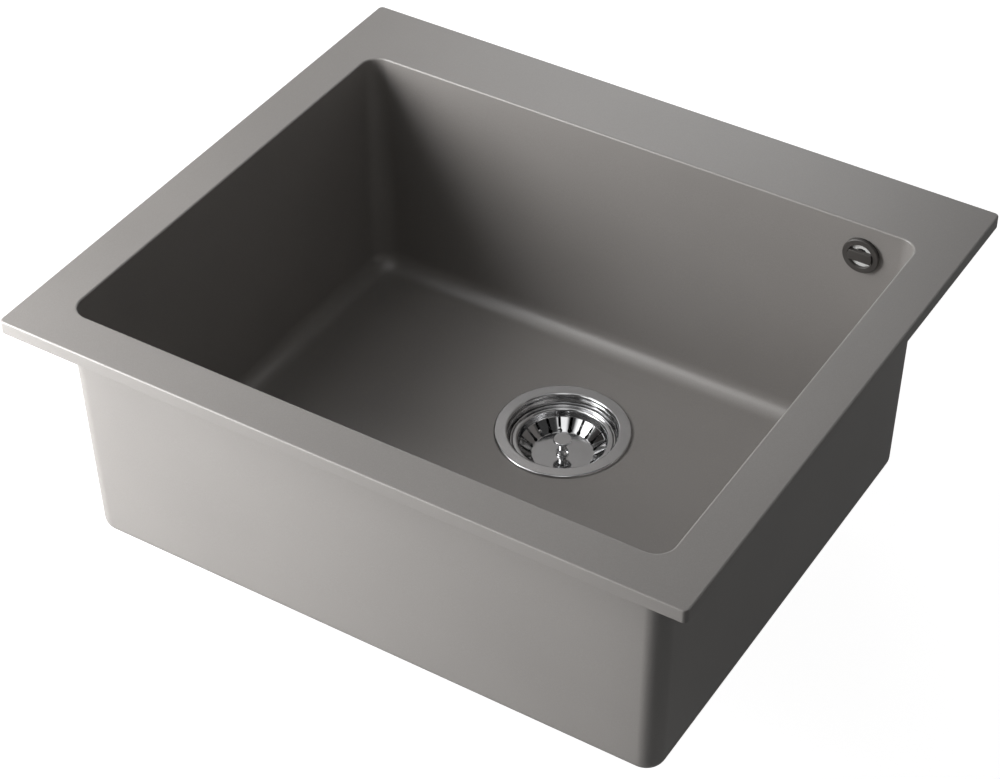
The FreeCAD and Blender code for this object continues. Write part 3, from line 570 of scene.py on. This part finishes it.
def slot_finish(slot):
    """The finish of one of the packed model's material slots, made when it is first asked for.

    Its name ends in _finish, so that it never meets one of the packed model's plain materials.
    """
    name = f"{slot}_finish"
    made = bpy.data.materials.get(name)
    if made:
        return made
    chosen = bpy.context.scene.sink_finishes
    steel = partial(polished_steel_finish, base=chosen.steel)
    rough = chosen.steel_roughness
    makers = {
        "stone_composite": partial(
            composite_finish,
            base=chosen.composite,
            fleck=chosen.composite_fleck,
            roughness=chosen.composite_roughness,
        ),
        "bright_steel": partial(steel, roughness=rough, wiping=0.10),
        "basket_steel": partial(steel, roughness=0.8 * rough, wiping=0.08),
        "screw_steel": partial(plain_metal_finish, base=chosen.screw_steel, roughness=0.30),
        "insert_brass": partial(plain_metal_finish, base=chosen.brass, roughness=0.28),
        "black_rubber": partial(
            soft_finish, base=chosen.rubber, roughness=0.72, grain=900, depth=0.00004
        ),
        "white_plastic": partial(
            soft_finish, base=chosen.plastic, roughness=0.42, grain=1200, depth=0.00002
        ),
        "dark_trim": partial(
            soft_finish, base=chosen.trim, roughness=0.36, grain=1500, depth=0.00001
        ),
    }
    return makers[slot](name)


# Places that the packed model gives


def middle(node):
    """The middle of a CAD node's box."""
    low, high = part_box(node)
    return (low + high) / 2


def waste_axis():
    """X and Y of the waste's upright axis."""
    centre = middle("strainer_cup")
    return centre.x, centre.y


# The bowl


def stations(section, plan, radius):
    """Level loops round a rectangle in plan, one for each (inset, height) of a section.

    The plan is (half width, front, back). Each loop is the plan drawn in by its inset, and its
    corners' radius is radius minus inset.
    """
    inset, height = section.T
    half_x, front, back = plan
    corner = np.maximum(radius - inset, LEAST_RADIUS)
    return level_loops(half_x - inset, front + inset, back - inset, corner, height)


def bowl_surface(sizes):
    """The whole moulding as one closed grid: an outline in section, carried round the plan.

    Columns run round the plan and rows run along the section: from the waste hole over the
    falling floor, up the drafted walls, over the rim, down the outer walls and back to the hole.
    A floor row is a blend of the seat's circle and the floor's rectangle, matched by bearing.
    """
    low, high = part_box("sink_bowl")
    half_x, front, back, top, under = high.x, low.y, high.y, high.z, low.z
    axis = np.array(waste_axis())
    seat_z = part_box("flange_seal")[0].z
    floor_z = seat_z + sizes.floor_fall
    slope = math.tan(sizes.draft)
    depth = top - floor_z
    lean = slope * depth
    # Flat runs that the sections keep beside their roundings, and the relief's edges
    floor_run, edge_run = 1.6 * sizes.floor_fillet, sizes.opening_edge + 0.001
    rim_run, relief_run, root_run, under_run = 3 * sizes.rim_edge, 0.002, 0.010, 0.025
    upper_ring, lower_ring, relief_edge = 0.001, 0.004, 0.0003

    def opening(inset):
        """The opening's plan at the rim, drawn in by an inset, as (half width, front, back)."""
        return (
            half_x - sizes.side_land - inset,
            front + sizes.front_land + inset,
            back - sizes.back_land - inset,
        )

    inner = rounded(
        [(floor_run, floor_z), (0, floor_z), (-lean, top), (-lean - edge_run, top)],
        [0, sizes.floor_fillet, sizes.opening_edge, 0],
    )
    rise = (inner[:, 1] - floor_z) / depth
    corner = sizes.floor_corner + (sizes.opening_corner - sizes.floor_corner) * rise
    walls = stations(inner, opening(lean), corner - lean * rise)

    floor_edge = walls[0]
    ray = floor_edge[:, :2] - axis
    ray /= np.linalg.norm(ray, axis=1)[:, None]

    def circle(radius, z):
        """The circle round the waste whose points lie at the floor edge's bearings."""
        return np.column_stack([axis + radius * ray, np.full(len(ray), z)])

    seat = circle(sizes.seat, seat_z)
    blend = np.linspace(0, 1, 15)[:-1, None, None]
    floor = seat + (floor_edge - seat) * blend

    strip, relief = sizes.seat_strip, sizes.seat_relief
    end = strip + relief_run
    rim = rounded(
        [(rim_run, top), (0, top), (0, 0), (strip, 0), (strip, relief), (end, relief)],
        [0, sizes.rim_edge, sizes.rim_foot, relief_edge, relief_edge, 0],
    )
    rim_loops = stations(rim, (half_x, front, back), sizes.rim_corner)

    root, foot = slope * (top - relief), slope * (top - under)
    outer = rounded(
        [(root - root_run, relief), (root, relief), (foot, under), (foot + under_run, under)],
        [0, sizes.root_fillet, sizes.outer_foot, 0],
    )
    corner = sizes.outer_corner + slope * (top - outer[:, 1])
    outer_loops = stations(outer, opening(-sizes.wall), corner)
    last = outer_loops[-1]
    ring = circle(sizes.hole + lower_ring, under)
    underside = last + (ring - last) * np.linspace(0, 1, 7)[1:, None, None]
    rows = [
        circle(sizes.hole, seat_z)[None],
        circle(sizes.hole + upper_ring, seat_z)[None],
        floor,
        walls,
        rim_loops,
        outer_loops,
        underside,
        circle(sizes.hole, under)[None],
    ]
    return np.concatenate(rows)


def overflow_pad(sizes):
    """The pad behind the overflow: a slab along Y whose two lower corners are round."""
    cover = middle("overflow_cover")
    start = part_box("overflow_cover")[1].y + 0.0045    # within the wall's thickness
    half = sizes.pad_width / 2
    low, high = cover.z - half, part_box("sink_bowl")[1].z / 2
    outline = rounded(
        [(-half, low), (half, low), (half, high), (-half, high)],
        [sizes.pad_corner, sizes.pad_corner, 0, 0],
        closed=True,
    )
    grid = slab(outline, start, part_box("overflow_rear_seal")[0].y)
    return grid[:, :, [0, 2, 1]] + np.array([cover.x, 0, 0])


def overflow_drill(sizes, spare=0.01):
    """The round cutter of the overflow hole, along Y, that reaches past both faces by spare."""
    cover = middle("overflow_cover")
    radius, reach = sizes.overflow_hole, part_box("overflow_rear_seal")[0].y - cover.y + spare
    outline = np.array([(0, -spare), (radius, -spare), (radius, reach), (0, reach)])
    return turned(outline, cover, steps=72, axis=(0, 1, 0))


class SINK_OT_bowl(bpy.types.Operator):
    """Builds the moulded bowl with its rim, walls, floor and overflow pad"""

    bl_idname = "sink.bowl"
    bl_label = "Bowl"

    def execute(self, context):
        sizes = context.scene.sink_bowl_sizes
        bowl = new_piece("bowl_moulding", [bowl_surface(sizes)], wrap_rows=True)
        combine(bowl, [new_piece("pad", [overflow_pad(sizes)])], "UNION")
        combine(bowl, [new_piece("drill", [overflow_drill(sizes)])], "DIFFERENCE")
        settle(bowl, SINK, "stone_composite", "sink_bowl")
        return {"FINISHED"}


# The waste


def cup_outline(sizes):
    """The cup's sheet in section, from the flange's edge to the hub."""
    low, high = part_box("strainer_cup")
    flange = (high.x - low.x) / 2
    top = high.z
    edge_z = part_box("flange_seal")[0].z
    step = (sizes.lip + sizes.ledge_outer) / 2
    edge_margin = 0.0002    # keeps the edge's outer side within the flange's radius
    hub_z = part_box("clamp_screw")[1].z - 0.0035    # the screw's head stands on the hub
    step_z, ledge_z, well_z = [
        top - depth for depth in (sizes.step_depth, sizes.ledge_depth, sizes.well_depth)
    ]
    profile = [
        (flange - edge_margin, edge_z + sizes.sheet / 3),
        (flange - sizes.flange_bevel, top),
        (sizes.lip, top),
        (sizes.lip, step_z),
        (step, step_z - sizes.step_height),
        (sizes.ledge_outer, ledge_z),
        (sizes.ledge_inner, ledge_z),
        (sizes.well, well_z),
        (sizes.dish, well_z),
        (sizes.hub, hub_z),
        (sizes.hub_hole, hub_z),
    ]
    lip, ledge, dish = sizes.lip_bend, sizes.ledge_bend, sizes.dish_bend
    bends = [0, lip, lip, ledge, ledge, ledge, ledge, sizes.well_bend, dish, dish, 0]
    outline, radii = bent_sheet(profile, bends, sizes.sheet)
    return rounded(outline, radii, closed=True, guard=0.00012)


def cup_windows(sizes, below=0.002, height=0.012):
    """The cutters of the dish's windows: sectors between the spokes, from below the cup upwards."""
    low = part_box("strainer_cup")[0].z - below
    inner = sizes.hub + sizes.window_margin
    outer = sizes.dish - sizes.window_margin
    half = FULL_TURN / sizes.spokes / 2
    cutters = []
    for place in range(sizes.spokes):
        start = FULL_TURN * place / sizes.spokes
        sides = []
        for radius, sign in ((inner, 1), (outer, -1)):
            gap = math.asin(sizes.spoke_width / 2 / radius)
            bearing = start + half + np.linspace(-half + gap, half - gap, 25)[::sign]
            sides.append(radius * np.column_stack([np.cos(bearing), np.sin(bearing)]))
        plan = np.concatenate(sides) + np.array(waste_axis())
        cutters.append(new_piece("window", [slab(plan, low, low + height)]))
    return cutters


class SINK_OT_strainer_cup(bpy.types.Operator):
    """Builds the pressed strainer cup with its flange, steps, ledge and spoked dish"""

    bl_idname = "sink.strainer_cup"
    bl_label = "Strainer cup"

    def execute(self, context):
        sizes = context.scene.sink_cup_sizes
        surface = turned(cup_outline(sizes), (*waste_axis(), 0), steps=192)
        cup = new_piece("cup_pressing", [surface], wrap_rows=True)
        combine(cup, cup_windows(sizes), "DIFFERENCE")
        settle(cup, SINK, "bright_steel", "strainer_cup")
        return {"FINISHED"}


def basket_levels(sizes):
    """The rim's radius, and the heights of the upper side's rim, shoulder and floor."""
    low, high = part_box("basket")
    rim = (high.x - low.x) / 2
    floor_z = low.z + sizes.sheet
    shoulder_z = floor_z + sizes.shoulder_share * (high.z - floor_z)
    return rim, high.z, shoulder_z, floor_z


def basket_outline(sizes):
    """The basket's sheet in section, from its rim's edge to the screw's hole."""
    rim, top, shoulder_z, floor_z = basket_levels(sizes)
    throat = rim - sizes.rim_bevel - sizes.rim_width
    profile = [
        (rim, top - sizes.rim_drop + sizes.sheet / 2),
        (rim - sizes.rim_bevel, top),
        (throat, top),
        (sizes.shoulder, shoulder_z),
        (sizes.floor, floor_z),
        (sizes.centre_hole, floor_z),
    ]
    bends = [0, sizes.sheet, sizes.bend, sizes.bend, sizes.bend, 0]
    outline, radii = bent_sheet(profile, bends, sizes.sheet)
    return rounded(outline, radii, closed=True, guard=0.0001)


def keyhole_plan(sizes, run):
    """A keyhole in its own plane: a round hole at the foot, then a narrow slot with a round end."""
    gap = math.asin(sizes.slot_width / 2 / sizes.slot_hole)
    hole = np.linspace(gap, FULL_TURN - gap, 25)
    end = np.linspace(-FULL_TURN / 4, FULL_TURN / 4, 11)
    foot = sizes.slot_hole * np.column_stack([np.cos(hole), np.sin(hole)])
    tip = sizes.slot_width / 2 * np.column_stack([np.cos(end), np.sin(end)])
    return np.concatenate([foot, tip + np.array([run, 0])])


def slot_cutters(sizes, half_depth=0.003):
    """One keyhole cutter for each slot: its plan stands square on the basket's sloping wall.

    A point is the slope's foot plus the plan's run up the slope, its width across and the depth
    along the slope's normal, and each slot's bearing turns the whole cutter about the waste.
    """
    shoulder_z, floor_z = basket_levels(sizes)[2:]
    run, rise = sizes.shoulder - sizes.floor, shoulder_z - floor_z
    slope = math.hypot(run, rise)
    up_slope = np.array([run / slope, 0, rise / slope])
    square = np.array([-rise / slope, 0, run / slope])
    across = np.array([0, 1, 0])
    plan = keyhole_plan(sizes, slope - sizes.slot_top - sizes.slot_foot)
    start = np.array([sizes.floor, 0, floor_z]) + up_slope * sizes.slot_foot
    flat = start + plan[:, :1] * up_slope + plan[:, 1:] * across
    centre = np.broadcast_to(flat[len(flat) // 4], flat.shape)
    reach = half_depth * square
    grid = np.array([centre - reach, flat - reach, flat + reach, centre + reach])
    cutters = []
    for place in range(sizes.slots):
        bearing = sizes.slot_start + FULL_TURN * place / sizes.slots
        cos, sin = math.cos(bearing), math.sin(bearing)
        spin = np.array([(cos, -sin, 0), (sin, cos, 0), (0, 0, 1)])
        cutters.append(grid @ spin.T + np.array([*waste_axis(), 0]))
    return new_piece("slots", cutters)


def knob_outline(sizes):
    """The knob in section: bore, foot, waisted neck and flat cap."""
    low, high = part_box("basket_knob")
    cap, bore = (high.x - low.x) / 2, sizes.knob_bore
    foot, neck = sizes.knob_foot, sizes.knob_neck
    under_cap, bore_top = high.z - sizes.knob_cap, low.z + sizes.knob_bore_depth
    corners = [
        (bore, low.z),
        (foot, low.z),
        (foot, low.z + sizes.knob_foot_height / 2),
        (neck, low.z + sizes.knob_foot_height),
        (neck, under_cap),
        (cap, under_cap),
        (cap, high.z),
        (0, high.z),
        (0, bore_top),
        (bore, bore_top),
    ]
    edge, throat = sizes.knob_edge, sizes.knob_throat
    radii = [0, edge, edge, throat, throat, edge, edge, 0, 0, 0]
    return rounded(corners, radii, closed=True, guard=0.0001)


class SINK_OT_basket(bpy.types.Operator):
    """Builds the strainer basket with its ring of keyhole slots, and its pull knob"""

    bl_idname = "sink.basket"
    bl_label = "Basket and knob"

    def execute(self, context):
        sizes = context.scene.sink_basket_sizes
        centre = (*waste_axis(), 0)
        surface = turned(basket_outline(sizes), centre, steps=8 * sizes.slots)
        basket = new_piece("basket_pressing", [surface], wrap_rows=True)
        combine(basket, [slot_cutters(sizes)], "DIFFERENCE")
        settle(basket, BASKET, "basket_steel", "basket")
        surface = turned(knob_outline(sizes), centre, steps=96)
        knob = new_piece("lift_knob", [surface], wrap_rows=True)
        settle(knob, BASKET, "basket_steel", "basket_knob")
        return {"FINISHED"}


# The overflow


def bar_grid(half_length, half_height, front, back, edge):
    """A level bar with round ends that follow the ring, as one closed grid.

    Each row is the bar's outline, scaled so that its half length and half height lose the row's
    inset. Along the front edge the inset and the depth follow a quarter turn, and the first and
    last rows are each face's middle.
    """
    tilt = math.asin(half_height / half_length)
    bearing = np.linspace(-tilt, tilt, 13)
    bearing = np.concatenate([bearing, bearing + math.pi])
    plan = half_length * np.column_stack([np.cos(bearing), np.sin(bearing)])
    cover = middle("overflow_cover")
    quarter = np.linspace(0, FULL_TURN / 4, 6)
    rows = [(half_height, front)]
    rows += [(edge * (1 - math.sin(a)), front + edge * (1 - math.cos(a))) for a in quarter]
    rows += [(0, back), (half_height, back)]
    grid = []
    for inset, y in rows:
        scale = 1 - np.array([inset / half_length, inset / half_height])
        if inset == half_height:
            scale = np.zeros(2)
        x, z = (plan * scale).T
        grid.append(np.column_stack([cover.x + x, np.full(len(plan), y), cover.z + z]))
    return np.array(grid)


def overflow_sleeve(sizes):
    """The elbow's sleeve through the wall: a tube along Y, with a mouth in its front face."""
    centre = middle("overflow_cover")
    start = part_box("overflow_cover")[1].y + sizes.sleeve_gap
    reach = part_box("overflow_elbow")[0].y - start
    mouth, outer, wall = sizes.sleeve_mouth, sizes.sleeve, sizes.sleeve_wall
    bore = outer - wall
    outline = rounded(
        [(mouth, 0), (outer, 0), (outer, reach), (bore, reach), (bore, wall), (mouth, wall)],
        [wall / 3, wall / 3, 0, 0, wall / 3, wall / 3],
        closed=True,
    )
    return turned(outline, (centre.x, start, centre.z), steps=96, axis=(0, 1, 0))


class SINK_OT_overflow_cover(bpy.types.Operator):
    """Builds the dark overflow ring with its crossbar, and the bare cap on the crossbar"""

    bl_idname = "sink.overflow_cover"
    bl_label = "Overflow cover"

    def execute(self, context):
        sizes = context.scene.sink_overflow_sizes
        low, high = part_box("overflow_cover")
        inner, outer, thick = sizes.opening, (high.x - low.x) / 2, sizes.thickness
        centre = middle("overflow_cover")
        outline = rounded(
            [(inner, 0), (outer, 0), (outer, thick), (inner, thick)],
            [0, 0, sizes.edge, sizes.edge / 2],
            closed=True,
        )
        ring = turned(outline, (centre.x, high.y, centre.z), steps=128, axis=(0, -1, 0))
        cover = new_piece("overflow_ring", [ring], wrap_rows=True)
        cap_low, cap_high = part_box("overflow_bar_cap")
        half_height = (cap_high.z - cap_low.z) / 2
        bar_front = high.y - sizes.bar_thickness
        bar = bar_grid(inner + sizes.edge, half_height, bar_front, high.y, edge=0.0001)
        combine(cover, [new_piece("bar", [bar])], "UNION")
        settle(cover, SINK, "dark_trim", "overflow_cover")
        half_length = (cap_high.x - cap_low.x) / 2
        cap = bar_grid(half_length, half_height, cap_low.y, cap_high.y, sizes.cap_edge)
        settle(new_piece("crossbar_cap", [cap]), SINK, "dark_trim", "overflow_bar_cap")
        sleeve = new_piece("overflow_sleeve", [overflow_sleeve(sizes)], wrap_rows=True)
        settle(sleeve, SINK, "white_plastic")
        return {"FINISHED"}


# Pieces that keep their packed shape


class SINK_OT_fittings(bpy.types.Operator):
    """Gives the seals, screws, inserts and pipework that keep their packed shape a finish"""

    bl_idname = "sink.fittings"
    bl_label = "Seals, screws and pipework"

    def execute(self, context):
        for part in frame["record"]["subparts"]:
            node = frame["nodes"][part["node"]]
            node.data.materials.clear()
            node.data.materials.append(slot_finish(part["material_slot"]))
        return {"FINISHED"}


# The stage


BOWL_MIDDLE = Vector((0.0, 0.22, -0.1))
# Each lamp's name, bearing, elevation, distance, size and power
LAMPS = (
    ("lamp_front", 45, 5, 1.15, 0.6, 14.6),
    ("lamp_left", 45, 24, 1.2, 0.5, 6.0),
    ("lamp_key", 60, 34, 1.2, 0.5, 7.6),
    ("lamp_side", 90, 55, 1.2, 0.6, 2.6),
    ("lamp_back", 160, 30, 1.3, 0.6, 2.6),
    ("lamp_right", -120, 10, 1.3, 0.6, 0.5),
    ("lamp_top", 0, 82, 1.2, 0.8, 0.9),
)
# Bearing, elevation, half width and strength of the world's pale patches, seen by gloss
PATCHES = (
    (31, 40, 16, 2.4),
    (-140, 34, 18, 1.2),
    (-31, 55, 10, 1.6),
    (0, 90, 24, 0.3),
)
# Shares of its half width where a patch ends and where it is full
PATCH_RIM, PATCH_CORE = 1.25, 0.75
# Sines of the rise where gloss's white world starts to fall, and where it reaches the ceiling's
HORIZON, OVERHEAD = 0.1, 0.5
# The floor's own colour, which takes the shadow, and the white that the camera sees with it
FLOOR_GREY, FLOOR_WHITE = 0.30, 0.96


def heading(bearing, elevation):
    """A direction away from the bowl: (-sin b cos e, -cos b cos e, sin e), both in degrees.

    The bearing b runs from the front towards the left, and the elevation e up from level.
    """
    turn, rise = math.radians(bearing), math.radians(elevation)
    level = math.cos(rise)
    return Vector((-math.sin(turn) * level, -math.cos(turn) * level, math.sin(rise)))


def area_lamp(name, bearing, elevation, distance, size, power):
    """A square soft lamp that faces the bowl."""
    away = heading(bearing, elevation)
    lamp = bpy.data.lights.new(name, "AREA")
    lamp.size = size
    lamp.energy = power
    holder = placed(name, lamp)
    holder.location = BOWL_MIDDLE + distance * away
    holder.rotation_mode = "QUATERNION"
    holder.rotation_quaternion = (-away).to_track_quat("-Z", "Y")


def joined(tree, operation, first, second):
    """One value from two, by a Math node."""
    step = tree.nodes.new("ShaderNodeMath")
    step.operation = operation
    tree.links.new(first, step.inputs[0])
    tree.links.new(second, step.inputs[1])
    return step.outputs["Value"]


def seen_white(tree, unseen, white, mirrored):
    """A strength: white for the camera, mirrored in gloss and glass, and unseen elsewhere."""
    path = tree.nodes.new("ShaderNodeLightPath")
    glossy, through = path.outputs["Is Glossy Ray"], path.outputs["Is Transmission Ray"]
    inner, outer = [tree.nodes.new("ShaderNodeMix") for _ in range(2)]
    tree.links.new(joined(tree, "MAXIMUM", glossy, through), inner.inputs["Factor"])
    inner.inputs["A"].default_value = unseen
    if isinstance(mirrored, float):
        inner.inputs["B"].default_value = mirrored
    else:
        tree.links.new(mirrored, inner.inputs["B"])
    tree.links.new(path.outputs["Is Camera Ray"], outer.inputs["Factor"])
    tree.links.new(inner.outputs["Result"], outer.inputs["A"])
    outer.inputs["B"].default_value = white
    return outer.outputs["Result"]


def stage_floor(size, height, mirrored):
    """A pale floor, level under the sink, that is white where it is seen."""
    steps = np.linspace(-size / 2, size / 2, 9)
    across, along = np.meshgrid(steps, steps)
    grid = np.stack([across, along, np.full_like(across, height)], axis=2)
    number = np.arange(across.size).reshape(across.shape)
    quads = np.stack([number[:-1, :-1], number[:-1, 1:], number[1:, 1:], number[1:, :-1]], axis=2)
    mesh = bpy.data.meshes.new("stage_floor")
    mesh.from_pydata(grid.reshape(-1, 3).tolist(), [], quads.reshape(-1, 4).tolist())
    material = bpy.data.materials.new("stage_paper")
    material.use_nodes = True
    tree = material.node_tree
    tree.nodes.clear()
    paper = tree.nodes.new("ShaderNodeBsdfDiffuse")
    paper.inputs["Color"].default_value = (FLOOR_GREY, FLOOR_GREY, FLOOR_GREY, 1)
    white = tree.nodes.new("ShaderNodeEmission")
    tree.links.new(seen_white(tree, 0.0, FLOOR_WHITE, mirrored), white.inputs["Strength"])
    lit = tree.nodes.new("ShaderNodeAddShader")
    tree.links.new(paper.outputs["BSDF"], lit.inputs[0])
    tree.links.new(white.outputs["Emission"], lit.inputs[1])
    result = tree.nodes.new("ShaderNodeOutputMaterial")
    tree.links.new(lit.outputs["Shader"], result.inputs["Surface"])
    mesh.materials.append(material)
    floor = placed("stage_floor", mesh)


def stage_world(fill, ceiling):
    """A plain world: white where it is seen, and a low fill on the sink.

    Gloss and glass show it white at eye level and darker overhead, as a studio's ceiling is, with
    soft pale patches. A direction's nearness to a patch is the cosine of the angle between them.
    """
    world = bpy.data.worlds.new("stage_world")
    bpy.context.scene.world = world
    world.use_nodes = True
    tree = world.node_tree
    background = tree.nodes["Background"]
    background.inputs["Color"].default_value = (1, 1, 1, 1)
    place = tree.nodes.new("ShaderNodeTexCoord")
    split = tree.nodes.new("ShaderNodeSeparateXYZ")
    tree.links.new(place.outputs["Generated"], split.inputs["Vector"])
    mirrored = ranged(tree, split.outputs["Z"], 1.0, ceiling, start=HORIZON, end=OVERHEAD)
    for bearing, elevation, width, strength in PATCHES:
        nearness = tree.nodes.new("ShaderNodeVectorMath")
        nearness.operation = "DOT_PRODUCT"
        nearness.inputs[1].default_value = heading(bearing, elevation)
        tree.links.new(place.outputs["Generated"], nearness.inputs[0])
        rim, core = [math.cos(math.radians(edge * width)) for edge in (PATCH_RIM, PATCH_CORE)]
        glow = ranged(tree, nearness.outputs["Value"], 0.0, strength, start=rim, end=core)
        mirrored = joined(tree, "ADD", mirrored, glow)
    tree.links.new(seen_white(tree, fill, 1.0, mirrored), background.inputs["Strength"])


def stage_camera(settings):
    """The photograph's camera: a long lens from the front right, looking down into the bowl."""
    camera = bpy.data.cameras.new("camera")
    holder = placed("camera", camera)
    holder.location = (settings.camera_x, settings.camera_y, settings.camera_z)
    holder.rotation_euler = (math.pi / 2 - settings.elevation, 0, settings.azimuth)
    camera.sensor_width = 36.0
    camera.lens = settings.lens
    camera.shift_x = settings.shift_x
    camera.shift_y = settings.shift_y
    camera.clip_start = 0.05
    camera.clip_end = 60.0
    bpy.context.scene.camera = holder


class SINK_OT_stage(bpy.types.Operator):
    """Sets the floor, the soft lamps, the world and the camera"""

    bl_idname = "sink.stage"
    bl_label = "Stage"

    def execute(self, context):
        scene = context.scene
        settings = scene.sink_stage_settings
        stage_camera(settings)
        stage_floor(settings.floor_size, CAD_BOX[0][2], settings.floor_share)
        stage_world(settings.fill, settings.ceiling)
        for lamp in LAMPS:
            area_lamp(*lamp)
        scene.view_settings.view_transform = "Standard"
        return {"FINISHED"}


# Panel and registration


OPERATORS = (
    SINK_OT_stage,
    SINK_OT_fittings,
    SINK_OT_bowl,
    SINK_OT_strainer_cup,
    SINK_OT_basket,
    SINK_OT_overflow_cover,
)


class SINK_PT_panel(bpy.types.Panel):
    """Lists the sink's operators and settings"""

    bl_idname = "SINK_PT_panel"
    bl_label = "Kitchen sink"
    bl_space_type = "VIEW_3D"
    bl_region_type = "UI"
    bl_category = "Sink"

    def draw(self, context):
        for operator in OPERATORS:
            self.layout.operator(operator.bl_idname)
        for name, group in GROUPS.items():
            box = self.layout.box()
            box.label(text=group.__doc__)
            for setting in group.__annotations__:
                box.prop(getattr(context.scene, name), setting)


def register():
    """Registers the settings, the operators and the panel."""
    for name, group in GROUPS.items():
        bpy.utils.register_class(group)
        setattr(bpy.types.Scene, name, PointerProperty(type=group))
    for kind in (*OPERATORS, SINK_PT_panel):
        bpy.utils.register_class(kind)


def unregister():
    """Removes what register added."""
    for kind in (SINK_PT_panel, *reversed(OPERATORS)):
        bpy.utils.unregister_class(kind)
    for name, group in reversed(GROUPS.items()):
        delattr(bpy.types.Scene, name)
        bpy.utils.unregister_class(group)


def main():
    """Builds the whole sink and its stage."""
    register()
    bpy.ops.sink.stage()
    bpy.ops.sink.fittings()
    bpy.ops.sink.bowl()
    bpy.ops.sink.strainer_cup()
    bpy.ops.sink.basket()
    bpy.ops.sink.overflow_cover()


if __name__ == "__main__":
    main()
